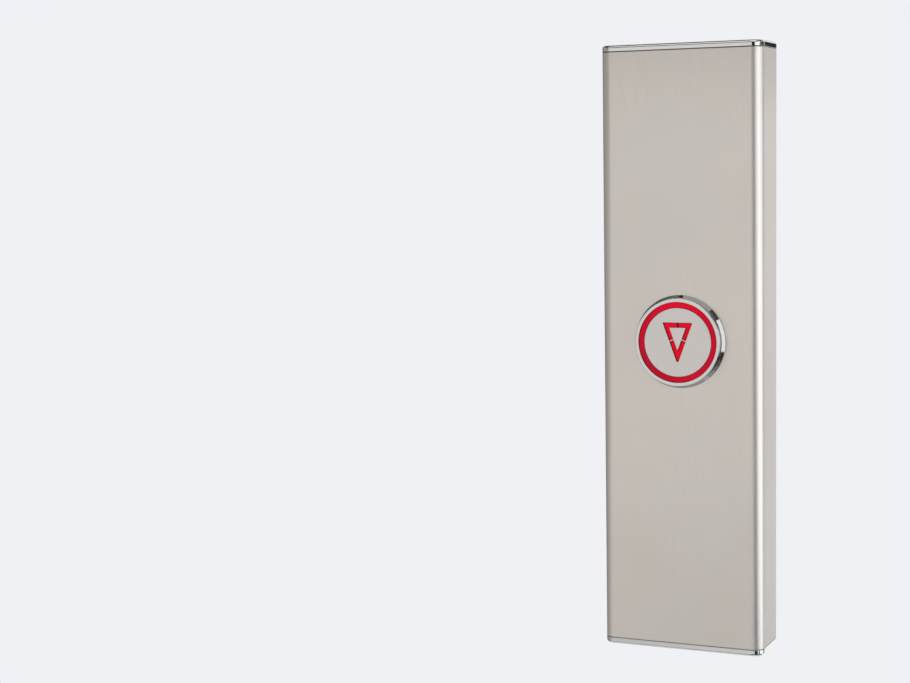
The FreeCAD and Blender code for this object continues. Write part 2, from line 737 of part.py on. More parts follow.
def cable_bush():
    bore = "(entry_bore / 2)"
    inside = "(housing_depth - tray_sheet)"
    sleeve = "(entry_hole / 2 - fit_gap)"
    end = "(housing_depth - fit_gap)"
    return turned("cable_bush", [
        (bore, f"{inside} - bush_flange_thickness"),
        ("bush_flange / 2", f"{inside} - bush_flange_thickness"),
        ("bush_flange / 2", inside), (sleeve, inside), (sleeve, end), (bore, end),
    ], "entry_rise")


# ---------------------------------------------------------------- button bezel and its fixing
def button_bezel():
    gasket_edge = f"({barrel} + fit_gap + gasket_width + fit_gap)"
    body = turned("button_bezel", [
        (bezel_bore, "-bezel_proud"), (bezel_neck, "-bezel_proud"), (bezel_neck, "-bezel_foot"),
        (bezel_rim, "-bezel_lip"), (bezel_rim, "0"),
        (gasket_edge, "0"), (gasket_edge, "-gasket_thickness"), (barrel, "-gasket_thickness"),
        (barrel, "barrel_length"), (bezel_bore, "barrel_length"),
    ])
    fillet(body, "bezel_edge", lambda middle: near(middle.y, depth("-bezel_proud"))
           and near(math.hypot(middle.x, middle.z), bezel_neck))
    key = face_sketch(body, "cover_sheet")
    rectangle(key, "-key_width / 2", "key_width / 2", f"-{barrel} - key_height",
              f"-{barrel} + key_height / 2")
    pad(body, key, "cover_sheet")
    return body


def bezel_gasket():
    inner = f"({barrel} + fit_gap)"
    return ring("bezel_gasket", inner, f"{inner} + gasket_width", "-gasket_thickness", "0")


def lock_washer():
    inner = f"({barrel} + fit_gap)"
    outer = f"({inner} + washer_width)"
    body = ring("lock_washer", inner, outer, washer_face, nut_face)
    gap = face_sketch(body, nut_face)
    rectangle(gap, "-tooth_gap / 2", "tooth_gap / 2", f"{outer} - tooth_gap",
              f"{outer} + tooth_gap")
    around(body, pocket(body, gap), count("tooth_count"))
    return body


def clamp_nut():
    outer = f"({barrel} + clamp_nut_width)"
    body = ring("clamp_nut", f"{barrel} + thread_gap", outer, nut_face,
                f"{nut_face} + clamp_nut_height")
    notch = face_sketch(body, nut_face)
    rectangle(notch, "-clamp_nut_notch / 2", "clamp_nut_notch / 2",
              f"{outer} - clamp_nut_notch_depth", f"{outer} + clamp_nut_notch_depth")
    around(body, pocket(body, notch), count("notch_count"))
    return body


# ---------------------------------------------------------------- fixed parts of the button
def halo_lens():
    skirt = f"({halo_bore} + halo_skirt)"
    return turned("halo_lens", [
        (halo_bore, halo_face), (housing_radius, halo_face), (housing_radius, halo_back),
        (skirt, halo_back), (skirt, "halo_skirt_reach"), (halo_bore, "halo_skirt_reach"),
    ])


def leg_holes(body, gap):
    """Openings for the plunger's legs, a gap larger than each leg."""
    opening = new_sketch(body, "XZ_Plane")
    half = f"(leg_thickness / 2 + {gap})"
    rectangle(opening, f"-leg_width / 2 - {gap}", f"leg_width / 2 + {gap}",
              f"{leg_radius} - {half}", f"{leg_radius} + {half}")
    return around(body, pocket(body, opening), count("leg_count"))


def button_housing():
    step = "(barrel_length + shoulder_height)"
    body = turned("button_housing", [
        ("0", "floor_face"), (housing_bore, "floor_face"), (housing_bore, halo_back),
        (housing_radius, halo_back), (housing_radius, "barrel_length"), (barrel, "barrel_length"),
        (barrel, step), (housing_radius, step), (housing_radius, "housing_end"),
        (housing_bore, "housing_end"), (housing_bore, floor_back), ("0", floor_back),
    ])
    leg_holes(body, "slide_gap")
    window = new_sketch(body, "XZ_Plane")
    rectangle(window, "-window_width / 2", "window_width / 2", "-window_height / 2",
              "window_height / 2")
    pocket(body, window)
    bosses = face_sketch(body, "housing_end")
    holes = face_sketch(body, "housing_end")
    for sign in ("-", ""):
        circle(bosses, "lid_boss / 2", f"{sign}{lid_screw_side}")
        circle(holes, "lid_screw / 2 + thread_gap", f"{sign}{lid_screw_side}")
    pad(body, bosses, f"housing_end - {floor_back}")
    pocket(body, holes, f"housing_end - {floor_back}", backwards=True)
    return body


def housing_lid():
    body = new_body("housing_lid", "button_rise")
    plan = face_sketch(body, lid_back)
    circle(plan, housing_radius)
    rectangle(plan, "-window_width / 2", "window_width / 2", "-window_height / 2",
              "window_height / 2")
    for sign in ("-", ""):
        circle(plan, "lid_screw / 2 + hole_gap", f"{sign}{lid_screw_side}")
    pad(body, plan, "lid_thickness")
    return body


def slotted_screw(x, front, z, head_radius, head, radius, length):
    """A screw driven from the wall side; front is the depth under its head."""
    shaft = rod(x, depth(f"{front} - {length}"), z, radius, length)
    cap = rod(x, depth(front), z, head_radius, head)
    slot = block(x, f"{front} + {head} / 2", z, f"{head_radius} * 3", head, f"{head_radius} / 3")
    return cut(fuse(shaft, cap), slot)


def lid_screws():
    length = "(lid_screw_length - fit_gap)"
    return group("lid_screws", [
        slotted_screw(f"{sign}{lid_screw_side}", lid_back, "button_rise", "(lid_screw_head / 2)",
                      "lid_screw_head_height", "lid_screw / 2", length)
        for sign in ("-", "")])


# ---------------------------------------------------------------- stencil arrow
slope = "(arrow_width / 2 / arrow_depth)"
cosine = f"(1 / sqrt(1 + {slope} ^ 2))"
sine = f"({slope} * {cosine})"
tip = "(arrow_rise - arrow_depth)"


def side_point(along, inward, sign):
    """A point of a side bar, along it from the sharp point and in from its outer edge."""
    x = f"(({along}) * {sine} - ({inward}) * {cosine})"
    z = f"({tip} + ({along}) * {cosine} + ({inward}) * {sine})"
    return f"{sign}{x}", z


def side_at(height, inward, sign):
    """The point of a side bar's line at a height."""
    return f"{sign}((({height}) - {tip}) * {slope} - ({inward}) / {cosine})", height


def arrow_outlines(gap):
    """The V and the two upper arms of the arrow, drawn in by a gap but at the top slot."""
    outer, inner = f"{gap}", f"(arrow_side_stroke - {gap})"
    low = f"(side_bridge_place - side_bridge / 2 - {gap})"
    high = f"(side_bridge_place + side_bridge / 2 + {gap})"
    top, under = f"(arrow_rise - {gap})", f"(arrow_rise - arrow_top_stroke + {gap})"
    middle = "(top_slot / 2)"
    point = [("0", f"({tip} + ({outer}) / {sine})"), side_point(low, outer, ""),
             side_point(low, inner, ""), ("0", f"({tip} + ({inner}) / {sine})"),
             side_point(low, inner, "-"), side_point(low, outer, "-")]
    arms = [[side_point(high, outer, sign), side_at(top, outer, sign), (f"{sign}{middle}", top),
             (f"{sign}{middle}", under), side_at(under, inner, sign),
             side_point(high, inner, sign)] for sign in ("", "-")]
    return [point] + arms


def round_arrow(body, height, gap):
    """Round the arrow's two top corners and its tip; height is the middle of their edges."""
    def corner(middle):
        return (near(middle.y, depth(height)) and near(middle.z, f"arrow_rise - {gap}")
                and abs(middle.x) > number("arrow_width / 3"))

    def point(middle):
        return (near(middle.y, depth(height)) and near(middle.x, "0")
                and near(middle.z, f"{tip} + {gap} / {sine}"))

    fillet(body, "arrow_corner", corner)
    fillet(body, "arrow_tip", point)


def button_disc():
    body = new_body("button_disc", "button_rise")
    blank = face_sketch(body, lens_face)
    circle(blank, disc_radius)
    pad(body, blank, "disc_thickness")
    fillet(body, "disc_edge", lambda middle: near(middle.y, depth(disc_face)))
    stencil = face_sketch(body, lens_face)
    for corners in arrow_outlines("0"):
        outline(stencil, corners)
    pocket(body, stencil)
    round_arrow(body, f"{disc_face} + disc_thickness / 2", "0")
    slot = face_sketch(body, lens_face)
    rectangle(slot, "-top_slot", "top_slot", "arrow_rise - arrow_top_stroke", "arrow_rise")
    pocket(body, slot)
    relief = face_sketch(body, lens_face)
    circle(relief, "relief_hole / 2", y=f"{tip} + arrow_side_stroke / {sine}")
    pocket(body, relief)
    return body


def arrow_lens():
    body = new_body("arrow_lens", "button_rise")
    base = face_sketch(body, plate_face)
    circle(base, f"{disc_radius} - lens_rim")
    pad(body, base, "lens_thickness")
    lit = face_sketch(body, lens_face)
    for corners in arrow_outlines("arrow_fit"):
        outline(lit, corners)
    pad(body, lit, "disc_thickness - arrow_inset")
    round_arrow(body, f"{disc_face} + (disc_thickness + arrow_inset) / 2", "arrow_fit")
    return body


# ---------------------------------------------------------------- moving parts of the button
def plunger():
    boss = "(push_boss / 2)"
    boss_end = f"({stem_face} - push_gap)"
    body = turned("plunger", [
        ("0", plate_face), (disc_radius, plate_face), (disc_radius, "plunger_end"),
        (plunger_bore, "plunger_end"), (plunger_bore, plate_back), (boss, plate_back),
        (boss, boss_end), ("0", boss_end),
    ])
    leg = face_sketch(body, retainer_back)
    rectangle(leg, "-leg_width / 2", "leg_width / 2", f"{leg_radius} - leg_thickness / 2",
              f"{leg_radius} + leg_thickness / 2")
    around(body, pad(body, leg, f"{retainer_back} - {plate_back}"), count("leg_count"))
    head = face_sketch(body, f"{retainer_back} + leg_head_height")
    half = "(leg_thickness / 2 + leg_head)"
    rectangle(head, "-leg_width / 2 - leg_head", "leg_width / 2 + leg_head",
              f"{leg_radius} - {half}", f"{leg_radius} + {half}")
    around(body, pad(body, head, "leg_head_height"), count("leg_count"))
    return body


def retaining_ring():
    body = ring("retaining_ring", f"{leg_radius} - retainer_width / 2",
                f"{leg_radius} + retainer_width / 2", retainer_face, retainer_back)
    leg_holes(body, "thread_gap")
    return body


def return_spring():
    start = f"({plate_back} + spring_gap + spring_wire / 2)"
    end = f"({light_board_face} - spring_gap - spring_wire / 2)"
    body = new_body("return_spring", "button_rise")
    wire = new_sketch(body, "XY_Plane")
    circle(wire, "spring_wire / 2", "spring_diameter / 2", depth(start))
    coil = body.newObject("PartDesign::AdditiveHelix", "coil")
    coil.Profile = wire
    coil.ReferenceAxis = (wire, ["V_Axis"])
    coil.Mode = "height-turns-angle"
    bind(coil, Height=f"{end} - {start}", Turns="spring_turns")
    coil.Angle = 0
    doc.recompute()
    return body


# ---------------------------------------------------------------- light board and switch
def led_board():
    body = new_body("led_board", "button_rise")
    plan = face_sketch(body, "floor_face")
    circle(plan, f"{housing_bore} - light_board_gap")
    pad(body, plan, "light_board_thickness")
    leg_holes(body, "slide_gap")
    return body


def ring_of_lights(label, copies, radius, wide, deep):
    """Small lights on the light board, on a circle, each turned to face the axis."""
    lights = []
    for step in range(copies):
        angle = 360 * (step + 0.5) / copies
        light = box("0", "0", "0", wide, "light_height", deep)
        light.Placement.Rotation = FreeCAD.Rotation(FreeCAD.Vector(0, 1, 0), angle)
        inner = f"({radius} - {deep} / 2)"
        across = f"{inner} * sin({angle}) - {wide} / 2 * cos({angle})"
        up = f"button_rise + {inner} * cos({angle}) + {wide} / 2 * sin({angle})"
        place(light, across, depth(f"{light_board_face} - light_height"), up)
        lights.append(light)
    return group(label, lights)


def switch_body():
    body = new_body("switch_body", "button_rise")
    plan = face_sketch(body, light_board_face)
    half = "(switch_width / 2)"
    rectangle(plan, f"-{half}", half, f"-{half}", half)
    pad(body, plan, "switch_height")
    before = volume(body)
    cavity = new_sketch(body, "XY_Plane")
    bore = "(stem_diameter / 2 + slide_gap)"
    wide = "(stem_collar / 2 + slide_gap)"
    under_lip = f"({switch_face} + switch_lip)"
    bottom = f"({stem_back} + button_travel + stem_room)"
    outline(cavity, [("0", depth(switch_face)), (bore, depth(switch_face)),
                     (bore, depth(under_lip)), (wide, depth(under_lip)),
                     (wide, depth(bottom)), ("0", depth(bottom))])
    groove = body.newObject("PartDesign::Groove", "switch_cavity")
    groove.Profile = cavity
    groove.ReferenceAxis = (cavity, ["V_Axis"])
    groove.Angle = 360
    if volume(body) >= before:
        raise RuntimeError("the switch cavity cuts nothing")
    return body


def switch_stem():
    radius = "(stem_diameter / 2)"
    collar = "(stem_collar / 2)"
    return turned("switch_stem", [
        ("0", stem_face), (radius, stem_face), (radius, collar_face), (collar, collar_face),
        (collar, stem_back), ("0", stem_back)])


def switch_terminals():
    terminals = []
    for side in ("-", ""):
        for up in ("-", ""):
            x = f"{side}(switch_width + terminal_length) / 2"
            z = f"button_rise {up or '+'} terminal_pitch / 2"
            front = f"{light_board_face} - terminal_height"
            terminals.append(block(x, front, z, "terminal_length", "terminal_height",
                                   "terminal_width"))
    return group("switch_terminals", terminals)


# ---------------------------------------------------------------- connectors and the button lead
def contact_places():
    """The contacts' places across a connector."""
    copies = count("contact_count")
    return [f"contact_pitch * {step - (copies - 1) / 2}" for step in range(copies)]


plug_width = "(header_width - 2 * header_wall - 2 * fit_gap)"
plug_height = "(header_height - 2 * header_wall - 2 * fit_gap)"
header_x = f"({block_left} + pole_pitch * terminal_poles + header_gap + header_width / 2)"
header_middle = f"({board_back} + header_height / 2)"


def button_header():
    shell = block("0", "floor_face", "button_rise", "header_width", "header_length",
                  "header_height")
    hollow = block("0", "floor_face + header_floor", "button_rise",
                   "header_width - 2 * header_wall", "header_length",
                   "header_height - 2 * header_wall")
    return named("button_header", cut(shell, hollow))


def button_header_pins():
    return group("button_header_pins", [
        block(x, "floor_face + header_floor", "button_rise", "contact_width", "contact_length",
              "contact_width") for x in contact_places()])


def board_header():
    """On the main board, with its mouth up."""
    shell = box(f"{header_x} - header_width / 2", depth(board_back),
                f"{block_top} - header_length", "header_width", "header_height", "header_length")
    hollow = box(f"{header_x} - header_width / 2 + header_wall",
                 depth(f"{board_back} + header_wall"),
                 f"{block_top} - header_length + header_floor",
                 "header_width - 2 * header_wall", "header_height - 2 * header_wall",
                 "header_length")
    return named("board_header", cut(shell, hollow))


def board_header_pins():
    low = f"{block_top} - header_length + header_floor"
    return group("board_header_pins", [
        box(f"{header_x} + {x} - contact_width / 2", depth(f"{header_middle} - contact_width / 2"),
            low, "contact_width", "contact_width", "contact_length") for x in contact_places()])


def lead_plugs():
    """One plug in the button's connector, its lead leaving downwards, one in the main board's."""
    reach = "(header_length - header_floor - fit_gap)"
    room = "(contact_width + 2 * fit_gap)"
    hole = "(contact_length + fit_gap)"
    nose = block("0", f"{plug_face} - {reach} - fit_gap", "button_rise", plug_width,
                 f"{reach} + fit_gap", plug_height)
    back = block("0", plug_face, "button_rise", "header_width", "plug_back", "plug_back_height")
    first = fuse(nose, back)
    for x in contact_places():
        first = cut(first, block(x, "floor_face + header_floor", "button_rise", room, hole, room))
    half = "(header_height / 2)"
    nose = box(f"{header_x} - {plug_width} / 2", depth(f"{header_middle} - {plug_height} / 2"),
               f"{block_top} - {reach}", plug_width, plug_height, f"{reach} + fit_gap")
    back = box(f"{header_x} - header_width / 2", depth(f"{header_middle} - {half} + fit_gap"),
               f"{block_top} + fit_gap", "header_width", "header_height", "plug_back")
    second = fuse(nose, back)
    for x in contact_places():
        second = cut(second, box(f"{header_x} + {x} - {room} / 2",
                                 depth(f"{header_middle} - {room} / 2"),
                                 f"{block_top} - header_length + header_floor", room, room, hole))
    return group("lead_plugs", [first, second])


bend_share = 0.45  # of the shorter run beside a bend, taken up by its arc
volume_error = 0.01  # allowed between a lead's volume and its section times its length


def lead(label, route, diameter):
    """A round lead along straight runs joined by tangent arcs, made from the sheet's values."""
    points = [FreeCAD.Vector(*(number(text) for text in point)) for point in route]
    edges = []
    here = points[0]
    for before, corner, after in zip(points, points[1:], points[2:]):
        arrive, leave = (corner - before).normalize(), (after - corner).normalize()
        turn = arrive.getAngle(leave)
        reach = bend_share * min((corner - before).Length, (after - corner).Length)
        radius = reach / math.tan(turn / 2)
        start, end = corner - arrive * reach, corner + leave * reach
        inwards = (leave - arrive).normalize()
        middle = corner + inwards * (radius / math.cos(turn / 2) - radius)
        edges.append(Part.LineSegment(here, start).toShape())
        edges.append(Part.Arc(start, middle, end).toShape())
        here = end
        print(f"{label}: bend radius {radius:.1f} mm")
    edges.append(Part.LineSegment(here, points[-1]).toShape())
    path = Part.Wire(edges)
    section = Part.Wire([Part.Circle(points[0], points[1] - points[0], diameter / 2).toShape()])
    solid = path.makePipeShell([section], True, False)
    expected = math.pi * diameter ** 2 / 4 * path.Length
    if abs(solid.Volume / expected - 1) > volume_error:
        raise RuntimeError(f"{label} doesn't fill its route")
    item = doc.addObject("Part::Feature", label)
    item.Label = label
    item.Shape = solid
    return item


def button_lead():
    start = "(button_rise - plug_back_height / 2)"
    behind = depth(f"{plug_back_face} - button_lead_diameter")
    end = f"({block_top} + fit_gap + plug_back)"
    over = depth(header_middle)
    return lead("button_lead", [
        ("0", behind, start), ("0", behind, f"{start} - button_lead_run"),
        (header_x, over, f"{end} + board_lead_run"), (header_x, over, end),
    ], number("button_lead_diameter"))


# ---------------------------------------------------------------- main board
board_places = [(f"{sign}({board_side} - board_inset)", z) for sign in ("-", "")
                for z in (f"({board_top} - board_inset)", f"({board_low} + board_inset)")]


def main_board():
    body = new_body("main_board")
    plan = face_sketch(body, board_back)
    rectangle(plan, f"-{board_side}", board_side, board_low, board_top)
    for x, z in board_places:
        circle(plan, "small_thread / 2 + hole_gap", x, z)
    pad(body, plan, "board_thickness")
    return body


def nuts(label, places, front, flats, height, thread):
    """Hexagon nuts, threaded along Y."""
    pieces = []
    for x, z in places:
        blank = prism(x, depth(front), z, flats, height)
        bore = rod(x, depth(front), z, f"{thread} / 2 + thread_gap", height)
        pieces.append(cut(blank, bore))
    return group(label, pieces)


def tubes(places, front, outer, inner, length):
    pieces = []
    for x, z in places:
        outside = rod(x, depth(front), z, outer, length)
        bore = rod(x, depth(front), z, inner, length)
        pieces.append(cut(outside, bore))
    return pieces


def board_studs():
    length = "spacer_length + board_thickness + small_nut_height + stud_spare"
    return group("board_studs", [
        rod(x, inner_face, z, "small_thread / 2", length) for x, z in board_places])


ear_places = [(f"{side}{ear_side}", f"{up}({cover_end} - ear_stud_inset)")
              for side in ("-", "") for up in ("-", "")]


def cap_studs():
    length = "cap_fit + ear_thickness + small_nut_height + stud_spare"
    return group("cap_studs", [
        rod(x, inner_face, z, "small_thread / 2", length) for x, z in ear_places])


# Components stand on the side of the board that faces the wall: (x, z) of their middles.
chip_place = ("chip_column", f"({board_top} - chip_down)")
driver_place = ("chip_column", f"({board_top} - driver_down)")
crystal_place = ("chip_column", f"({board_top} - crystal_down)")
regulator_place = ("-power_column", f"({board_top} - regulator_down)")
capacitor_places = [("-power_column", f"({board_top} - capacitor_down)"),
                    ("-power_column", f"({board_top} - capacitor_down - capacitor_pitch)")]
chip_part_rows = [("-upper_row_left", f"({board_top} - upper_row_down)"),
                  ("-lower_row_left", f"({board_low} + lower_row_rise)")]


def on_board(place_on_board, wide, thick, high):
    x, z = place_on_board
    return block(x, board_back, z, wide, thick, high)


def main_chip():
    return named("main_chip", on_board(chip_place, "chip_width", "chip_height", "chip_width"))


def chip_legs():
    """A row of legs along each of the chip's four sides."""
    x, z = chip_place
    reach = "(chip_width + chip_leg_length) / 2"
    legs = []
    copies = count("chip_side_legs")
    for step in range(copies):
        along = f"(chip_leg_pitch * {step - (copies - 1) / 2})"
        for sign in ("-", "+"):
            upright = (f"{x} + {along}", f"{z} {sign} {reach}")
            level = (f"{x} {sign} {reach}", f"{z} + {along}")
            legs.append(on_board(upright, "chip_leg_width", "chip_leg_height", "chip_leg_length"))
            legs.append(on_board(level, "chip_leg_length", "chip_leg_height", "chip_leg_width"))
    return group("chip_legs", legs)


def capacitors():
    return group("capacitors", [
        rod(x, depth(board_back), z, "capacitor_diameter / 2", "capacitor_height")
        for x, z in capacitor_places])


def chip_parts():
    """Two rows of small resistors."""
    parts = []
    for x, z in chip_part_rows:
        for step in range(count("chip_part_count")):
            spot = (f"{x} + chip_part_pitch * {step}", z)
            parts.append(on_board(spot, "chip_part_width", "chip_part_height",
                                  "chip_part_length"))
    return group("chip_parts", parts)


def poles():
    """The middle of each pole, across the board."""
    return [f"({block_left} + pole_pitch * {step + 0.5})"
            for step in range(count("terminal_poles"))]


def terminal_block():
    item = box(block_left, depth(board_back), f"{block_top} - block_depth",
               "pole_pitch * terminal_poles", "block_height", "block_depth")
    room = "(clamp_width + 2 * thread_gap)"
    for x in poles():
        mouth = box(f"{x} - {room} / 2", depth(f"{board_back} + clamp_rise - {room} / 2"),
                    f"{block_top} - clamp_length", room, room, "clamp_length")
        well = rod(x, depth(f"{board_back} + block_height - block_screw_length"),
                   f"{block_top} - clamp_length / 2", "block_screw / 2 + hole_gap",
                   "block_screw_length")
        item = cut(cut(item, mouth), well)
    return named("terminal_block", item)


def terminal_clamps():
    clamps = []
    for x in poles():
        low = f"{block_top} - clamp_length"
        shell = box(f"{x} - clamp_width / 2", depth(f"{board_back} + clamp_rise - clamp_width / 2"),
                    low, "clamp_width", "clamp_width", "clamp_length")
        half = "(clamp_width / 2 - clamp_wall)"
        hollow = box(f"{x} - {half}", depth(f"{board_back} + clamp_rise - {half}"), low,
                     f"2 * {half}", f"2 * {half}", "clamp_length")
        clamps.append(cut(shell, hollow))
    return group("terminal_clamps", clamps)


def terminal_screws():
    screws = []
    front = f"{board_back} + block_height - block_screw_length"
    for x in poles():
        z = f"{block_top} - clamp_length / 2"
        head = rod(x, depth(front), z, "block_screw / 2", "block_screw_length - hole_gap")
        slot = block(x, f"{front} + block_screw_length / 2", z, "block_screw * 2",
                     "block_screw_length", "block_screw / 5")
        screws.append(cut(head, slot))
    return group("terminal_screws", screws)


# ---------------------------------------------------------------- earthing
earth_x = "(earth_inset - housing_width / 2)"
tray_earth_rise = f"({cover_end} - tray_earth_inset)"
cover_earth = (earth_x, "cover_earth_rise")
tray_earth = (earth_x, tray_earth_rise)
tray_face = "(housing_depth - tray_sheet)"


def stacked(start, outwards, lower, upper):
    """Where a layer of an earth stack begins: lower and upper count out from the metal."""
    return f"({start} + {lower})" if outwards else f"({start} - {upper})"


earth_ends = [(cover_earth, washer_face, True), (tray_earth, tray_face, False)]


def earth_studs():
    return group("earth_studs", [
        rod(x, depth(stacked(start, out, "0", "earth_stud_length")), z, "earth_thread / 2",
            "earth_stud_length") for (x, z), start, out in earth_ends])


def earth_layer(label, lower, thickness, shape):
    """One layer of both stacks: tags, washers or nuts."""
    pieces = []
    for (x, z), start, out in earth_ends:
        front = stacked(start, out, lower, f"({lower} + {thickness})")
        pieces.append(shape(x, z, front, out))
    return group(label, pieces)


def earth_ring(x, z, front):
    outside = rod(x, depth(front), z, "tag_diameter / 2", "tag_thickness")
    return cut(outside, rod(x, depth(front), z, "earth_thread / 2 + fit_gap", "tag_thickness"))


def earth_tag(x, z, front, out):
    """A ring tag whose crimp barrel points to the other stud."""
    neck_low = f"{z} + tag_diameter / 2 - tag_root" if out else f"{z} - tag_barrel_start"
    neck = box(f"{x} - tag_neck / 2", depth(front), neck_low, "tag_neck", "tag_thickness",
               "tag_barrel_start - tag_diameter / 2 + tag_root")
    low = f"{z} + tag_barrel_start" if out else f"{z} - tag_barrel_start - tag_barrel_length"
    middle = f"{front} + tag_barrel / 2" if out else f"{front} + tag_thickness - tag_barrel / 2"
    shell = rod(x, depth(middle), low, "tag_barrel / 2", "tag_barrel_length", "z")
    bore = rod(x, depth(middle), low, "earth_lead_diameter / 2 + thread_gap",
               "tag_barrel_length", "z")
    return fuse(earth_ring(x, z, front), neck, cut(shell, bore))


def earth_lead():
    start = "(cover_earth_rise + tag_barrel_start + crimp_gap)"
    end = f"({tray_earth_rise} - tag_barrel_start - crimp_gap)"
    near_cover = depth("cover_sheet + tag_barrel / 2")
    near_tray = depth(f"{tray_face} - tag_barrel / 2")
    return lead("earth_lead", [
        (earth_x, near_cover, start), (earth_x, near_cover, f"{start} + earth_lead_run"),
        (earth_x, near_tray, f"{end} - earth_lead_run"), (earth_x, near_tray, end),
    ], number("earth_lead_diameter"))


# ---------------------------------------------------------------- the assembly
node(front_cover())
node(top_end_cap())
node(bottom_end_cap())
node(cap_studs())
node(nuts("cap_nuts", ear_places, "cover_sheet + cap_fit + ear_thickness", "small_nut_flats",
          "small_nut_height", "small_thread"))
node(wall_tray())
node(cable_bush())
node(security_screw())
node(clinch_nut())
node(button_bezel())
node(bezel_gasket())
node(lock_washer())
node(clamp_nut())
node(halo_lens())
node(button_housing())
node(housing_lid())
node(lid_screws())
node(button_disc())
node(arrow_lens())
node(plunger())
node(retaining_ring())
node(return_spring())
node(led_board())
node(ring_of_lights("halo_leds", count("halo_lights"),
                    f"({housing_bore} - light_board_gap - light_edge - light_width / 2)",
                    "light_length", "light_width"))
node(ring_of_lights("arrow_leds", count("arrow_lights"), "(arrow_light_circle / 2)",
                    "arrow_light_length", "arrow_light_width"))
node(switch_body())
node(switch_stem())
node(switch_terminals())
node(button_header())
node(button_header_pins())
node(lead_plugs())
node(button_lead())
node(main_board())
node(board_studs())
node(group("board_spacers", tubes(board_places, "cover_sheet", "spacer_diameter / 2",
                                  "small_thread / 2 + fit_gap", "spacer_length")))
node(nuts("board_nuts", board_places, board_back, "small_nut_flats", "small_nut_height",
          "small_thread"))
node(main_chip())
node(chip_legs())
node(named("driver_chip", on_board(driver_place, "driver_length", "driver_height",
                                   "driver_width")))
node(named("regulator", on_board(regulator_place, "regulator_length", "regulator_height",
                                 "regulator_width")))
node(capacitors())
node(named("crystal", on_board(crystal_place, "crystal_length", "crystal_height",
                               "crystal_width")))
node(chip_parts())
node(terminal_block())
node(terminal_clamps())
node(terminal_screws())
node(board_header())
node(board_header_pins())
node(earth_studs())
node(earth_layer("earth_tags", "0", "tag_thickness", earth_tag))
node(earth_layer("earth_washers", "tag_thickness", "tag_thickness",
                 lambda x, z, front, out: earth_ring(x, z, front)))
node(earth_layer("earth_nuts", "(2 * tag_thickness)", "earth_nut_height",
                 lambda x, z, front, out: cut(
                     prism(x, depth(front), z, "earth_nut_flats", "earth_nut_height"),
                     rod(x, depth(front), z, "earth_thread / 2 + thread_gap",
                         "earth_nut_height"))))
node(earth_lead())

# ---------------------------------------------------------------- checks and files
doc.recompute()
faulty = [item.Name for item in doc.Objects if "Invalid" in item.State or "Error" in item.State]
if faulty:
    raise RuntimeError(f"failed objects: {faulty}")
for item in nodes:
    if item.Shape.isNull() or not item.Shape.isValid():
        raise RuntimeError(f"{item.Label} has no valid shape")
for item in nodes:
    item.Shape.exportStep(f"parts/{item.Label}.step")
    print(f"{item.Label}: {len(item.Shape.Solids)} solids, {item.Shape.Volume:.1f} mm3")
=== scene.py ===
import json
import math

import bpy
import numpy as np
from mathutils import Matrix, Vector


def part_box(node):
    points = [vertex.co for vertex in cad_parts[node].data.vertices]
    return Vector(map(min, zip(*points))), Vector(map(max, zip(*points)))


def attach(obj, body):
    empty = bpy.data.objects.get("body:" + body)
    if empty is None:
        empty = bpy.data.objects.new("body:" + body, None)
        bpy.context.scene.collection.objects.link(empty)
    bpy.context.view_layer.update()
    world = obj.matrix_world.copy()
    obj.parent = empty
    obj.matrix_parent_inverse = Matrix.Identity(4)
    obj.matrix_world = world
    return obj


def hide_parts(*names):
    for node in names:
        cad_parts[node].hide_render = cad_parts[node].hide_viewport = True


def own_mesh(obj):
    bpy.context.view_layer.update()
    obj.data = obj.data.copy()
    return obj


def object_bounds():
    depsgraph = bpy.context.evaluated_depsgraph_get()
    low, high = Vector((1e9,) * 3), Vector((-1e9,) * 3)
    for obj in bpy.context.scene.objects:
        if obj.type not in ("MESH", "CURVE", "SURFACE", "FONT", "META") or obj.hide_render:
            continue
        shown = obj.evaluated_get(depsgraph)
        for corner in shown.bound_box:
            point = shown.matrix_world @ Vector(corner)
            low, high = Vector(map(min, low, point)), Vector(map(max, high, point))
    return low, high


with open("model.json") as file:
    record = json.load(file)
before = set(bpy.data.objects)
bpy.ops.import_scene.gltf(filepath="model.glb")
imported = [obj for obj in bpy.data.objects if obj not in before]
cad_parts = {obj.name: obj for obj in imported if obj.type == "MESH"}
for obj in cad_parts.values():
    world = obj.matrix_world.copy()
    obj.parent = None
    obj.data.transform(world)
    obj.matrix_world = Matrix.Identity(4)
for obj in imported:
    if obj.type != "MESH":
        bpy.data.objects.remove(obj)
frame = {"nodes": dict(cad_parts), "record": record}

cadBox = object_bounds()
nodes = frame["nodes"]
noiseSpan = (0.3, 0.7)   # nearly all values of a noise lie in here


# small helpers for node trees
def feed(tree, inputs, values):
    # each value is a plain one, or a socket to link from
    for name, value in values.items():
        if isinstance(value, bpy.types.NodeSocket):
            tree.links.new(value, inputs[name])
        else:
            inputs[name].default_value = value


def put(tree, kind, values=None, **settings):
    # a node with its settings and the values of its inputs
    node = tree.nodes.new(kind)
    for name, value in settings.items():
        setattr(node, name, value)
    feed(tree, node.inputs, values or {})
    return node


def emptyTree(owner):
    # the node tree of a material or world, with nothing in it
    owner.use_nodes = True
    owner.node_tree.nodes.clear()
    return owner.node_tree


def startGroup(name, inputs, outputs):
    # a new group, the sockets that it is given and the ones that it hands back
    group = bpy.data.node_groups.new(name, "ShaderNodeTree")
    for label, kind, value in inputs:
        socket = group.interface.new_socket(label, in_out="INPUT", socket_type="NodeSocket" + kind)
        socket.default_value = value
    for label, kind in outputs:
        group.interface.new_socket(label, in_out="OUTPUT", socket_type="NodeSocket" + kind)
    return group, put(group, "NodeGroupInput").outputs, put(group, "NodeGroupOutput").inputs


def useGroup(tree, group, **values):
    return put(tree, "ShaderNodeGroup", values, node_tree=group).outputs


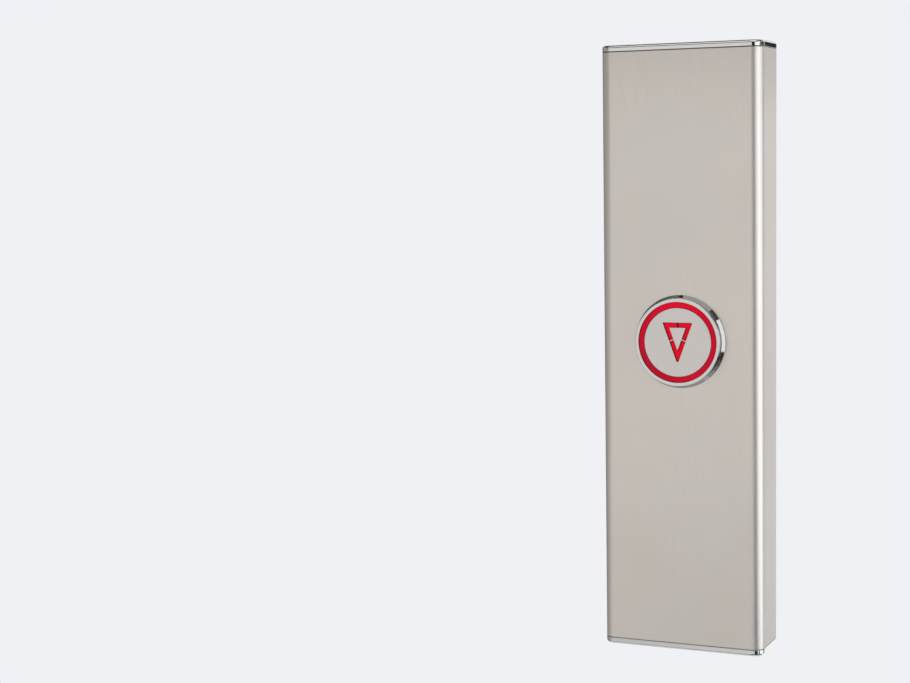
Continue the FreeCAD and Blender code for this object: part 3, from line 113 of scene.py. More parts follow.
def objectPlace(tree):
    return put(tree, "ShaderNodeTexCoord").outputs["Object"]


def axesOf(tree, vector):
    # the X, Y and Z of a vector
    return put(tree, "ShaderNodeSeparateXYZ", {"Vector": vector}).outputs


def remap(tree, value, low, high, toLow, toHigh, smooth=False):
    names = ("Value", "From Min", "From Max", "To Min", "To Max")
    return put(tree, "ShaderNodeMapRange", dict(zip(names, (value, low, high, toLow, toHigh))),
               interpolation_type="SMOOTHSTEP" if smooth else "LINEAR").outputs["Result"]


def calculate(tree, operation, *values):
    return put(tree, "ShaderNodeMath", dict(enumerate(values)), operation=operation).outputs[0]


def calculateVector(tree, operation, *values):
    return put(tree, "ShaderNodeVectorMath", dict(enumerate(values)), operation=operation).outputs


def addShares(tree, first, firstShare, second, secondShare):
    return calculate(tree, "ADD", calculate(tree, "MULTIPLY", first, firstShare),
                     calculate(tree, "MULTIPLY", second, secondShare))


def blendColour(tree, share, first, second):
    # first where share is 0, second where it is 1; each is a socket or a plain colour
    first, second = (x if isinstance(x, bpy.types.NodeSocket) else (*x, 1) for x in (first, second))
    return put(tree, "ShaderNodeMix", {0: share, 6: first, 7: second}, data_type="RGBA").outputs[2]


def noise(tree, where, scale, detail=3.0, roughness=0.5):
    return put(tree, "ShaderNodeTexNoise", {
        "Vector": where, "Scale": scale, "Detail": detail, "Roughness": roughness}).outputs["Fac"]


# effects that several finishes share
streaks = {
    "broad": (1.0, 4.0, 0.6),         # scale, detail and roughness of the noise
    "fine": (3.7, 3.0, 0.7),
    "shares": (0.6, 0.4),
}


def grainGroup():
    # long thin streaks: Tone for colour, Height for bump
    group, given, result = startGroup(
        "grain", [("Stretch", "Vector", (1500, 1500, 40)), ("Contrast", "Float", 1.0)],
        [("Tone", "Float"), ("Height", "Float")])
    where = put(group, "ShaderNodeMapping", {
        "Vector": objectPlace(group), "Scale": given["Stretch"]}).outputs[0]
    broad = noise(group, where, *streaks["broad"])
    fine = noise(group, where, *streaks["fine"])
    both = addShares(group, broad, streaks["shares"][0], fine, streaks["shares"][1])
    tone = calculate(group, "MULTIPLY", calculate(group, "SUBTRACT", both, 0.5), given["Contrast"])
    feed(group, result, {"Tone": calculate(group, "ADD", tone, 0.5), "Height": both})
    return group


clouds = (4.0, 0.55)                  # detail and roughness of the noise


def mottleGroup():
    # slow cloudy change over the surface, from Low to High
    group, given, result = startGroup(
        "mottle", [("Size", "Float", 30.0), ("Low", "Float", 0.0), ("High", "Float", 1.0)],
        [("Value", "Float")])
    cloud = noise(group, objectPlace(group), given["Size"], *clouds)
    feed(group, result, {"Value": remap(group, cloud, *noiseSpan, given["Low"], given["High"], True)})
    return group


bevelled = {
    "samples": 4,
    "start": 0.01,                    # how far the softened surface turns away, 1 less its cosine
    "full": 0.2,
}


def edgeGroup():
    # Mask is 1 along sharp edges within Radius, Normal is the surface with those edges softened
    group, given, result = startGroup(
        "softEdges", [("Radius", "Float", 0.0003)], [("Mask", "Float"), ("Normal", "Vector")])
    soft = put(group, "ShaderNodeBevel", {"Radius": given["Radius"]},
               samples=bevelled["samples"]).outputs[0]
    sharp = put(group, "ShaderNodeNewGeometry").outputs["Normal"]
    along = calculateVector(group, "DOT_PRODUCT", soft, sharp)["Value"]
    apart = calculate(group, "SUBTRACT", 1.0, along)
    mask = remap(group, apart, bevelled["start"], bevelled["full"], 0.0, 1.0)
    feed(group, result, {"Mask": mask, "Normal": soft})
    return group


handling = {
    "patch": (6.0, 0.6),              # detail and roughness of the noise
    "fleck": (2.0, 0.5),
    "fleckScale": 9.0,                # flecks for each patch
    "shares": (0.8, 0.2),
    "least": 0.75,                    # noise above this is smudged when Amount is 0
    "fade": 0.12,
}


def smudgeGroup():
    # patches left by handling, Amount of the surface
    group, given, result = startGroup(
        "smudge", [("Size", "Float", 60.0), ("Amount", "Float", 0.3)], [("Mask", "Float")])
    where = objectPlace(group)
    patch = noise(group, where, given["Size"], *handling["patch"])
    fleckSize = calculate(group, "MULTIPLY", given["Size"], handling["fleckScale"])
    fleck = noise(group, where, fleckSize, *handling["fleck"])
    both = addShares(group, patch, handling["shares"][0], fleck, handling["shares"][1])
    start = calculate(group, "SUBTRACT", handling["least"],
                      calculate(group, "MULTIPLY", given["Amount"], 0.5))
    full = calculate(group, "ADD", start, handling["fade"])
    feed(group, result, {"Mask": remap(group, both, start, full, 0.0, 1.0, True)})
    return group


# painted shadow, with some dust, along the joints between the cover and its end caps
seam = {
    "half": 0.00032,                  # either side of the joint
    "fade": (0.5, 1.2),               # of that half, where the shade starts to go and is gone
    "footShare": 0.4,                 # how dark the lower joint is, and the upper one
    "topShare": 0.72,
    "change": (-0.01, 0.01),          # heights between which the one gives way to the other
    "colour": (0.03, 0.025, 0.022),
}


def seamGroup():
    # Mask is 1 within Half of the joints between the cover and its end caps
    group, given, result = startGroup("seamShade", [("Half", "Float", 0.0003)], [("Mask", "Float")])
    height = axesOf(group, objectPlace(group))["Z"]
    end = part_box("front_cover")[1].z
    beyond = calculate(group, "SUBTRACT", calculate(group, "ABSOLUTE", height), end)
    away = calculate(group, "DIVIDE", calculate(group, "ABSOLUTE", beyond), given["Half"])
    feed(group, result, {"Mask": remap(group, away, *seam["fade"], 1.0, 0.0, True)})
    return group


crystal = {
    "bendScale": 260.0,               # of the noise that bends the borders
    "bend": 0.004,
    "border": 0.08,
}


def spangleGroup():
    # zinc crystals: a tone for each, and the lines between them
    group, given, result = startGroup(
        "spangle", [("Size", "Float", 160.0)], [("Tone", "Float"), ("Border", "Float")])
    where = objectPlace(group)
    bends = put(group, "ShaderNodeTexNoise", {"Vector": where, "Scale": crystal["bendScale"]})
    bend = (crystal["bend"],) * 3
    wavy = calculateVector(group, "MULTIPLY_ADD", bends.outputs["Color"], bend, where)[0]
    cell = put(group, "ShaderNodeTexVoronoi", {"Vector": wavy, "Scale": given["Size"]})
    tone = put(group, "ShaderNodeSeparateColor", {"Color": cell.outputs["Color"]}).outputs[0]
    edge = put(group, "ShaderNodeTexVoronoi", {"Vector": wavy, "Scale": given["Size"]},
               feature="DISTANCE_TO_EDGE").outputs["Distance"]
    border = remap(group, edge, 0.0, crystal["border"], 1.0, 0.0)
    feed(group, result, {"Tone": tone, "Border": border})
    return group


sparks = {
    "fine": (2.0, 0.5),               # detail and roughness of the noise
    "cloud": (3.0, 0.5),
    "cloudScale": 0.03,
}


def mouldGroup():
    # the fine sparked texture of a mould
    group, given, result = startGroup(
        "mouldTexture", [("Size", "Float", 2500.0)], [("Height", "Float"), ("Tone", "Float")])
    where = objectPlace(group)
    fine = noise(group, where, given["Size"], *sparks["fine"])
    cloudSize = calculate(group, "MULTIPLY", given["Size"], sparks["cloudScale"])
    cloud = noise(group, where, cloudSize, *sparks["cloud"])
    feed(group, result, {"Height": fine, "Tone": cloud})
    return group


grain = grainGroup()
mottle = mottleGroup()
softEdges = edgeGroup()
smudge = smudgeGroup()
seamShade = seamGroup()
spangle = spangleGroup()
mouldTexture = mouldGroup()
print("effects made")


# finishes
def startMaterial(name, **values):
    # a material with one Principled shader; a name such as Specular_IOR_Level is a spaced socket
    material = bpy.data.materials.new(name)
    tree = emptyTree(material)
    principled = put(tree, "ShaderNodeBsdfPrincipled", {
        label.replace("_", " "): value for label, value in values.items()})
    put(tree, "ShaderNodeOutputMaterial", {"Surface": principled.outputs[0]})
    return material, tree, principled.inputs


def reopen(material):
    # a finished material's tree, its shader's sockets and the socket that its colour comes from
    tree = material.node_tree
    sockets = next(node for node in tree.nodes if node.type == "BSDF_PRINCIPLED").inputs
    return tree, sockets, sockets["Base Color"].links[0].from_socket


def bump(tree, height, strength, distance, normal):
    return put(tree, "ShaderNodeBump", {
        "Height": height, "Strength": strength, "Distance": distance, "Normal": normal}).outputs[0]


def shade(colour, factor):
    return tuple(min(1.0, channel * factor) for channel in colour)


def faded(tree, share, amount, first, second):
    # the second colour over the first one, as far as amount where share is 1
    return blendColour(tree, calculate(tree, "MULTIPLY", share, amount), first, second)


def scaledSpan(tree, value, base, low, high):
    # base times low to base times high, as a noise goes through its span
    return remap(tree, value, *noiseSpan, base * low, base * high)


satin = {
    "tones": (0.8, 1.2),              # of the colour, in the darkest and the palest streaks
    "streaks": 3,                     # how much more the streaks change the tone than the clouds do
    "cloudSize": 24.0,
    "hueSize": 15.0,                  # faint hue clouds left by rolling and wiping
    "cool": (0.999, 1.002, 1.004),
    "warm": (1.009, 0.986, 0.978),
    # how far the edge colour goes in; on the cover that colour is darker, painted shade along its edges
    "wear": 0.7,
    "sheen": (0.9, 1.1),              # of the roughness, along the streaks
    "bump": (0.15, 0.00002),          # strength and distance
}


def satinSteel(name, colour, stretch, toneShift, roughness, aniso, edgeRadius, edgeShadeTone):
    # brushed stainless: streaks in tone and roughness, slow mottling, softened edges whose colour is the
    # colour times edgeShadeTone; below 1 this is painted shade along the edges
    material, tree, sockets = startMaterial(name, Metallic=1.0, Anisotropic=aniso)
    lines = useGroup(tree, grain, Stretch=stretch)
    cloud = useGroup(tree, mottle, Size=satin["cloudSize"], Low=-toneShift, High=toneShift)["Value"]
    edge = useGroup(tree, softEdges, Radius=edgeRadius)
    reach = satin["streaks"] * toneShift
    streak = remap(tree, lines["Tone"], *noiseSpan, 0.5 - reach, 0.5 + reach)
    dark, pale = (shade(colour, factor) for factor in satin["tones"])
    body = blendColour(tree, calculate(tree, "ADD", streak, cloud), dark, pale)
    blush = useGroup(tree, mottle, Size=satin["hueSize"])["Value"]
    hue = blendColour(tree, blush, satin["cool"], satin["warm"])
    tinted = calculateVector(tree, "MULTIPLY", body, hue)[0]
    feed(tree, sockets, {
        "Base Color": faded(tree, edge["Mask"], satin["wear"], tinted, shade(colour, edgeShadeTone)),
        "Roughness": scaledSpan(tree, lines["Tone"], roughness, *satin["sheen"]),
        "Normal": bump(tree, lines["Height"], *satin["bump"], edge["Normal"])})
    return material


plating = {
    "hazeSize": 90.0,
    "hazeAmount": 0.35,
    "hazeRoughness": 2.2,             # times the clean metal's
    "cloudSize": 120.0,
    "cloudShare": 0.35,
    "cloudTone": 0.93,
}


def polished(name, colour, roughness, edgeRadius):
    # plated and polished: faint haze, wiping marks
    material, tree, sockets = startMaterial(name, Metallic=1.0)
    haze = useGroup(tree, smudge, Size=plating["hazeSize"], Amount=plating["hazeAmount"])["Mask"]
    edge = useGroup(tree, softEdges, Radius=edgeRadius)
    cloud = useGroup(tree, mottle, Size=plating["cloudSize"], Low=0.0, High=plating["cloudShare"])
    feed(tree, sockets, {
        "Base Color": blendColour(tree, cloud["Value"], colour, shade(colour, plating["cloudTone"])),
        "Roughness": remap(tree, haze, 0.0, 1.0, roughness, roughness * plating["hazeRoughness"]),
        "Normal": edge["Normal"]})
    return material


smallMetal = {
    "stretch": (900, 900, 900),
    "edge": 0.00012,
    "stainSize": 400.0,
    "stain": 0.06,
    "tones": (0.82, 1.15),
    "wear": 0.5,
    "wornTone": 1.3,
    "sheen": (0.8, 1.2),
    "bump": (0.1, 0.00001),
}


def plainMetal(name, colour, roughness):
    # zinc, spring steel, brass: slight tone change, tiny scratches, bright edges
    material, tree, sockets = startMaterial(name, Metallic=1.0)
    lines = useGroup(tree, grain, Stretch=smallMetal["stretch"])
    edge = useGroup(tree, softEdges, Radius=smallMetal["edge"])
    stain = useGroup(tree, mottle, Size=smallMetal["stainSize"], Low=-smallMetal["stain"],
                     High=smallMetal["stain"])["Value"]
    dark, pale = (shade(colour, factor) for factor in smallMetal["tones"])
    body = blendColour(tree, calculate(tree, "ADD", lines["Tone"], stain), dark, pale)
    worn = shade(colour, smallMetal["wornTone"])
    feed(tree, sockets, {
        "Base Color": faded(tree, edge["Mask"], smallMetal["wear"], body, worn),
        "Roughness": scaledSpan(tree, lines["Tone"], roughness, *smallMetal["sheen"]),
        "Normal": bump(tree, lines["Height"], *smallMetal["bump"], edge["Normal"])})
    return material


def seamShaded(material):
    # painted shadow, with some dust, in the joint between the cover and an end cap; the upper joint is
    # painted darker than the lower one
    tree, sockets, metal = reopen(material)
    joint = useGroup(tree, seamShade, Half=seam["half"])["Mask"]
    height = axesOf(tree, objectPlace(tree))["Z"]
    share = remap(tree, height, *seam["change"], seam["footShare"], seam["topShare"])
    feed(tree, sockets, {"Base Color": faded(tree, joint, share, metal, seam["colour"])})
    return material


def boxWidth(node):
    low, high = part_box(node)
    return high.x - low.x


def fromButton(tree):
    # how far a point lies from the button's axis, and its X, Y and Z with X and Z measured from there
    low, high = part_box("halo_lens")
    middle = (low + high) / 2
    moved = put(tree, "ShaderNodeMapping", {
        "Vector": objectPlace(tree), "Location": (-middle.x, 0, -middle.z)}).outputs[0]
    flat = calculateVector(tree, "MULTIPLY", moved, (1, 0, 1))[0]
    return calculateVector(tree, "LENGTH", flat)["Value"], axesOf(tree, moved)


# painted shade on the bezel's sloped foot
foot = {
    "colour": (0.387, 0.374, 0.357),
    "soft": 0.00005,                  # width of the change at the neck
    "share": 0.4,                     # of the width from the foot's edge in to the lit ring
}


def shadedFoot(material):
    # painted shade: the bezel's sloped foot gets a darker colour than the neck and face, standing in for
    # the dark that it reflects
    tree, sockets, metal = reopen(material)
    away, _ = fromButton(tree)
    outer, inner = (boxWidth(node) / 2 for node in ("button_bezel", "halo_lens"))
    start = outer - (outer - inner) * foot["share"]
    footShade = remap(tree, away, start, start + foot["soft"], 0.0, 1.0)
    feed(tree, sockets, {"Base Color": blendColour(tree, footShade, metal, foot["colour"])})
    return material


# the arrow's cut-out, measured from the button's middle
stencil = {
    "reach": 0.0145,                  # beyond the arrow's corners
    "fade": 0.0002,
    "wall": (0.030, 0.014, 0.011),    # shaded walls and rim of the cut
    "wallFacing": (-0.8, -0.5),       # Y of the normal, where a face starts to count as wall and does
    "rim": 0.0003,
    "rimShade": 0.8,
}


def inStencil(tree, away):
    return remap(tree, away, stencil["reach"], stencil["reach"] + stencil["fade"], 1.0, 0.0)


def discSteel(name, colour):
    # satin steel whose arrow cut-out has painted shade on its walls and a thin painted dark rim
    material = satinSteel(name, colour, stretch=(2200, 2200, 120), toneShift=0.015, roughness=0.36,
                          aniso=0.5, edgeRadius=0.0001, edgeShadeTone=1.0)
    tree, sockets, steel = reopen(material)
    away, _ = fromButton(tree)
    rim = useGroup(tree, softEdges, Radius=stencil["rim"])["Mask"]
    facing = axesOf(tree, put(tree, "ShaderNodeNewGeometry").outputs["True Normal"])["Y"]
    wall = remap(tree, facing, *stencil["wallFacing"], 0.0, 1.0)
    dark = calculate(tree, "MAXIMUM", wall, calculate(tree, "MULTIPLY", rim, stencil["rimShade"]))
    feed(tree, sockets, {
        "Base Color": faded(tree, dark, inStencil(tree, away), steel, stencil["wall"])})
    return material


lens = {
    "arrow": (1.0, 0.0, 0.024),
    "ringLit": (0.84, 0.0, 0.026),    # the ring's colour where its painted light is brightest, and where its painted shade is darkest
    "ringShaded": (0.42, 0.005, 0.026),
    # angle round the ring from +X towards +Z, and how bright it is painted there: painted light and
    # shade, brightest at the top and darkest at the lower left
    "lightRound": ((-180, 0.36), (-142, 0.02), (-120, 0.17), (-90, 0.29), (-62, 0.58), (-42, 0.4),
                  (0, 0.44), (40, 0.5), (62, 0.87), (80, 1.0), (106, 1.0), (140, 0.52), (180, 0.34)),
    "glowColour": (1.0, 0.0, 0.02, 1),
    "glow": 0.08,
    "gloss": 0.05,
    "slot": (0.00005, 0.00015),       # below the arrow's face, where painted shade turns it dark
    "edge": 0.0002,
    "edgeShade": 0.45,
    "cloud": (300.0, 0.92, 1.04),     # size, least and most
    "textureSize": 3000.0,
    "roughness": (0.26, 0.34),
    "bump": (0.2, 0.00001),
}


def ringLightAndShade(tree, place):
    # the ring's colour with painted light and shade, from a ramp over the angle round the button
    turn = calculate(tree, "ARCTAN2", place["Z"], place["X"])
    ramp = put(tree, "ShaderNodeValToRGB", {"Fac": remap(tree, turn, -math.pi, math.pi, 0.0, 1.0)})
    stops = ramp.color_ramp.elements
    stops.remove(stops[1])
    for angle, level in lens["lightRound"]:
        stop = stops.new((angle + 180) / 360)
        stop.color = (level, level, level, 1)
    stops.remove(stops[0])
    return blendColour(tree, ramp.outputs["Color"], lens["ringShaded"], lens["ringLit"])


def redLens(name):
    # translucent red: bright under the arrow, the ring with painted light and shade round it; painted
    # shade in the slot and along the lens's edges
    material, tree, sockets = startMaterial(
        name, Specular_IOR_Level=lens["gloss"], Emission_Color=lens["glowColour"],
        Emission_Strength=lens["glow"])
    away, place = fromButton(tree)
    inside = inStencil(tree, away)
    # the ring's painted light and shade, and the arrow's own red under the stencil
    lit = blendColour(tree, inside, ringLightAndShade(tree, place), lens["arrow"])
    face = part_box("arrow_lens")[0].y
    below = remap(tree, place["Y"], face + lens["slot"][0], face + lens["slot"][1], 0.0, 1.0)
    slotShade = calculate(tree, "MULTIPLY", below, inside)
    edge = useGroup(tree, softEdges, Radius=lens["edge"])
    rim = calculate(tree, "MULTIPLY", edge["Mask"], lens["edgeShade"])
    shaded = calculate(tree, "MAXIMUM", slotShade, rim)
    size, least, most = lens["cloud"]
    cloud = useGroup(tree, mottle, Size=size, Low=least, High=most)["Value"]
    body = blendColour(tree, shaded, lit, stencil["wall"])
    skin = useGroup(tree, mouldTexture, Size=lens["textureSize"])
    feed(tree, sockets, {
        "Base Color": put(tree, "ShaderNodeVectorMath", {0: body, "Scale": cloud},
                          operation="SCALE").outputs[0],
        "Roughness": remap(tree, skin["Tone"], *noiseSpan, *lens["roughness"]),
        "Normal": bump(tree, skin["Height"], *lens["bump"], edge["Normal"])})
    return material


zinc = {
    "crystalSize": 170.0,
    "tones": (0.86, 1.08),
    "hazeSize": 45.0,
    "hazeAmount": 0.4,
    "hazeShare": 0.35,
    "hazeTone": 0.8,
    "edge": 0.0002,
    "roughness": (0.38, 0.55),
    "bump": (0.2, 0.00002),
}


def galvanised(name, colour):
    # hot-dipped sheet: crystals, each with its own tone and gloss, under dull patches
    material, tree, sockets = startMaterial(name, Metallic=1.0)
    crystals = useGroup(tree, spangle, Size=zinc["crystalSize"])
    haze = useGroup(tree, smudge, Size=zinc["hazeSize"], Amount=zinc["hazeAmount"])["Mask"]
    edge = useGroup(tree, softEdges, Radius=zinc["edge"])
    dark, pale = (shade(colour, factor) for factor in zinc["tones"])
    body = blendColour(tree, crystals["Tone"], dark, pale)
    feed(tree, sockets, {
        "Base Color": faded(tree, haze, zinc["hazeShare"], body, shade(colour, zinc["hazeTone"])),
        "Roughness": remap(tree, crystals["Tone"], 0.0, 1.0, *zinc["roughness"]),
        "Normal": bump(tree, crystals["Border"], *zinc["bump"], edge["Normal"])})
    return material


mould = {
    "tone": 0.12,                     # of the colour, darker and paler
    "edge": 0.00015,
    "rubbed": 0.25,
    "paler": 0.06,                    # of the way to white, on rubbed edges
    "sheen": (0.9, 1.1),
    "bump": 0.3,
}


def moulded(name, colour, roughness, texture=2500.0, depth=0.00003):
    # plastic or rubber from a mould: sparked texture, slight tone change, paler edges
    material, tree, sockets = startMaterial(name)
    skin = useGroup(tree, mouldTexture, Size=texture)
    edge = useGroup(tree, softEdges, Radius=mould["edge"])
    dark, pale = (shade(colour, 1 + change) for change in (-mould["tone"], mould["tone"]))
    body = blendColour(tree, remap(tree, skin["Tone"], *noiseSpan, 0.0, 1.0), dark, pale)
    rubbed = tuple(channel + mould["paler"] * (1 - channel) for channel in colour)
    feed(tree, sockets, {
        "Base Color": faded(tree, edge["Mask"], mould["rubbed"], body, rubbed),
        "Roughness": scaledSpan(tree, skin["Tone"], roughness, *mould["sheen"]),
        "Normal": bump(tree, skin["Height"], mould["bump"], depth, edge["Normal"])})
    return material


board = {
    "patches": 110.0,                 # in each metre: stretches whose tracks run the same way
    "patchRandomness": 0.7,
    "upright": 0.5,                   # patches above this have upright tracks
    "bare": 0.35,                     # patches below this have none
    "pitch": 0.00127,
    "trackWidth": 0.0004,
    "trackEdge": 0.00005,
    "trackShare": 0.7,                # how far the mask lets a track's colour through
    "trackColour": (0.06, 0.33, 0.15),
    "vias": 260.0,
    "padWidth": 0.16,
    "padEdge": 0.02,
    "padColour": (0.72, 0.70, 0.62),
    "padMetallic": 0.9,
}


def trackedBoard(name, colour):
    # solder mask over copper: patches of paler tracks, upright or level, and tinned pads
    material = moulded(name, colour, roughness=0.3, texture=900.0, depth=0.00001)
    tree, sockets, mask = reopen(material)
    where = objectPlace(tree)
    patch = put(tree, "ShaderNodeTexVoronoi", {
        "Vector": where, "Scale": board["patches"], "Randomness": board["patchRandomness"]},
        distance="CHEBYCHEV").outputs["Color"]
    chosen = put(tree, "ShaderNodeSeparateColor", {"Color": patch}).outputs
    place = axesOf(tree, where)
    upright = calculate(tree, "GREATER_THAN", chosen[0], board["upright"])
    half = board["trackWidth"] / 2
    uprights, levels = (remap(tree, calculate(tree, "PINGPONG", place[axis], board["pitch"] / 2),
                              half, half + board["trackEdge"], 1.0, 0.0) for axis in ("X", "Z"))
    line = addShares(tree, uprights, upright, levels, calculate(tree, "SUBTRACT", 1.0, upright))
    track = calculate(tree, "MULTIPLY", line, calculate(tree, "GREATER_THAN", chosen[1], board["bare"]))
    via = put(tree, "ShaderNodeTexVoronoi", {"Vector": where, "Scale": board["vias"]}).outputs["Distance"]
    pad = remap(tree, via, board["padWidth"], board["padWidth"] + board["padEdge"], 1.0, 0.0)
    tracks = faded(tree, track, board["trackShare"], mask, board["trackColour"])
    feed(tree, sockets, {
        "Base Color": blendColour(tree, pad, tracks, board["padColour"]),
        "Metallic": calculate(tree, "MULTIPLY", pad, board["padMetallic"])})
    return material


sheath = {
    "bands": 120.0,
    "lean": 0.3,                      # radians, about X
    "slant": 35.0,                    # degrees, about Y
    "change": (0.48, 0.56),           # of the wave, from green to yellow
}


def stripedSheath(name, green, yellow):
    # the two colours of an earth lead, in slanting bands round it
    material = moulded(name, green, roughness=0.45)
    tree, sockets, plain = reopen(material)
    turned = put(tree, "ShaderNodeMapping", {
        "Vector": objectPlace(tree),
        "Rotation": (sheath["lean"], math.radians(sheath["slant"]), 0)}).outputs[0]
    bands = put(tree, "ShaderNodeTexWave", {
        "Vector": turned, "Scale": sheath["bands"], "Distortion": 0.0},
        wave_type="BANDS", bands_direction="X").outputs["Fac"]
    share = remap(tree, bands, *sheath["change"], 0.0, 1.0)
    feed(tree, sockets, {"Base Color": blendColour(tree, share, plain, yellow)})
    return material


can = {
    "foot": 0.0014,
    "footEdge": 0.0001,
    "footColour": (0.03, 0.03, 0.03),
}


def sleevedCan(name, colour):
    # aluminium can with a dark band by its foot
    material = plainMetal(name, colour, roughness=0.3)
    tree, sockets, steel = reopen(material)
    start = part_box("capacitors")[1].y - can["foot"]
    band = remap(tree, axesOf(tree, objectPlace(tree))["Y"], start, start + can["footEdge"], 0.0, 1.0)
    feed(tree, sockets, {
        "Base Color": blendColour(tree, band, steel, can["footColour"]),
        "Metallic": calculate(tree, "SUBTRACT", 1.0, band)})
    return material


finishes = {
    "satin_steel": seamShaded(satinSteel("satinCover", (0.632, 0.596, 0.558), stretch=(1300, 1300, 30),
                                     toneShift=0.03, roughness=0.33, aniso=0.7, edgeRadius=0.0003,
                                     edgeShadeTone=0.45)),
    "polished_cap": seamShaded(polished("polishedCap", (0.60, 0.60, 0.59), roughness=0.05,
                                    edgeRadius=0.0001)),
    "chrome_bezel": shadedFoot(polished("chromeBezel", (0.555, 0.575, 0.565), roughness=0.05,
                                    edgeRadius=0.0001)),
    "disc_steel": discSteel("satinDisc", (0.63, 0.612, 0.59)),
    "red_lens": redLens("redLens"),
    "galvanised": galvanised("galvanisedTray", (0.58, 0.60, 0.61)),
    # small pieces: name, colour and roughness
    "zinc_fastener": plainMetal("brightZinc", (0.66, 0.66, 0.64), 0.3),
    "screw_steel": plainMetal("screwSteel", (0.62, 0.61, 0.60), 0.25),
    "washer_steel": plainMetal("springSteel", (0.52, 0.52, 0.53), 0.32),
    "plated_brass": plainMetal("platedBrass", (0.78, 0.62, 0.33), 0.25),
    "black_rubber": moulded("blackRubber", (0.03, 0.03, 0.03), 0.65, texture=1800.0, depth=0.00004),
    "black_plastic": moulded("blackPlastic", (0.03, 0.03, 0.035), 0.5),
    "opal_plastic": moulded("opalPlastic", (0.86, 0.86, 0.83), 0.3, depth=0.00001),
    "stem_plastic": moulded("stemPlastic", (0.75, 0.74, 0.70), 0.4),
    "board_laminate": trackedBoard("boardLaminate", (0.02, 0.19, 0.08)),
    "light_body": moulded("lightBody", (0.90, 0.87, 0.70), 0.25),
    "tinned_contact": plainMetal("tinnedContact", (0.72, 0.72, 0.70), 0.28),
    "white_nylon": moulded("whiteNylon", (0.80, 0.78, 0.70), 0.45),
    "grey_sheath": moulded("greySheath", (0.25, 0.25, 0.27), 0.5),
    "earth_sheath": stripedSheath("earthSheath", (0.06, 0.30, 0.05), (0.80, 0.62, 0.04)),
    "chip_epoxy": moulded("chipEpoxy", (0.03, 0.03, 0.03), 0.6),
    "capacitor_can": sleevedCan("capacitorCan", (0.70, 0.70, 0.72)),
    "terminal_green": moulded("terminalGreen", (0.05, 0.35, 0.14), 0.4),
    "terminal_steel": plainMetal("terminalSteel", (0.68, 0.68, 0.66), 0.3),
}
for part in frame["record"]["subparts"]:
    for place in nodes[part["node"]].material_slots:
        place.material = finishes[part["material_slot"]]
print("finishes made:", len(finishes))


# new pieces
def meshPiece(name, points, closedAcross=True):
    # a grid of points (along, across, 3) as smooth quads; one closed across is a tube with capped ends
    rows, columns = points.shape[:2]
    index = np.arange(rows * columns).reshape(rows, columns)
    right = np.roll(index, -1, 1)
    quads = np.stack([index[:-1], right[:-1], right[1:], index[1:]], -1)
    if not closedAcross:
        quads = quads[:, :-1]
    faces = [tuple(quad) for quad in quads.reshape(-1, 4).tolist()]
    if closedAcross:
        faces.append(tuple(range(columns))[::-1])
        faces.append(tuple(range((rows - 1) * columns, rows * columns)))
    mesh = bpy.data.meshes.new(name)
    mesh.from_pydata(points.reshape(-1, 3).tolist(), [], faces)
    mesh.polygons.foreach_set("use_smooth", np.ones(len(mesh.polygons), bool))
    piece = bpy.data.objects.new(name, mesh)
    bpy.context.scene.collection.objects.link(piece)
    return piece


spring = {
    "turns": 5.0,                     # working turns between the ground ends
    "deadTurns": 0.75,                # closed turns at each end
    "wire": 0.0007,
    "sides": 12,
    "stepsPerTurn": 48,
}


def returnSpring():
    # a helix about the button's axis: it rises one wire's thickness for each closed turn at its
    # ends and evenly in between, and a circle of wire is carried along it
    low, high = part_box("return_spring")
    centre = (low + high) / 2
    wire = spring["wire"]
    mean = (high.x - low.x) / 2 - wire / 2
    turns = spring["turns"] + 2 * spring["deadTurns"]
    steps = int(turns * spring["stepsPerTurn"]) + 1
    turn = np.linspace(0, turns, steps)
    dead = spring["deadTurns"]
    work = np.clip((turn - dead) / (turns - 2 * dead), 0, 1)
    closed = np.minimum(turn, dead) + np.maximum(turn - turns + dead, 0)
    room = (high.y - low.y) - wire
    rise = closed * wire + work * (room - 2 * dead * wire)
    angle = turn * 2 * math.pi
    middle = np.stack([centre.x + mean * np.cos(angle), low.y + wire / 2 + rise,
                       centre.z + mean * np.sin(angle)], -1)
    outward = np.stack([np.cos(angle), np.zeros(steps), np.sin(angle)], -1)
    ahead = np.gradient(middle, axis=0)
    ahead /= np.linalg.norm(ahead, axis=1)[:, None]
    beside = np.cross(ahead, outward)
    side = np.linspace(0, 2 * math.pi, spring["sides"], endpoint=False)[None, :, None]
    points = middle[:, None] + wire / 2 * (np.cos(side) * outward[:, None]
                                           + np.sin(side) * beside[:, None])
    piece = meshPiece("return_spring_wire", points)
    piece.data.materials.append(finishes["washer_steel"])
    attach(piece, "station")
    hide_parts("return_spring")
    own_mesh(piece)


returnSpring()
print("spring made")


# studio
studio = {
    "ground": (0.871, 0.879, 0.913),  # the floor and all that lies beyond it
    "ambient": 0.62,                  # what the plain light from all round gives matt surfaces
    "floorDrop": 1.0,                 # from the station's foot, which hangs at hand height
    "floorSize": 40.0,
    "floorLight": 0.70,               # level of light on the floor, which glows with the rest of its tone
    "shadowReach": (0.7, 1.8),        # where the shadow on the floor starts to fade, and is gone
    "cardDistance": 1.24,             # from the station to the nearest card that only its gloss sees
    "cardStep": 0.01,                 # from each card to the next one behind it
    "cardGrid": (9, 13),              # points of a card up and across
    "warmTint": (1.01, 1.0, 0.985),
    "coolTint": (1.01, 1.055, 1.11),
    "coolCards": ("coreCard", "rightCard"),
}

# lamps for matt surfaces: azimuth from -Y towards +X and height angle in degrees, distance,
# width and height in metres, level of the face
lamps = {
    "rightLamp": (55, 2, 1.7, 1.5, 1.2, 1.5),
    "frontLamp": (-30, 35, 1.8, 1.2, 1.2, 0.8),
}

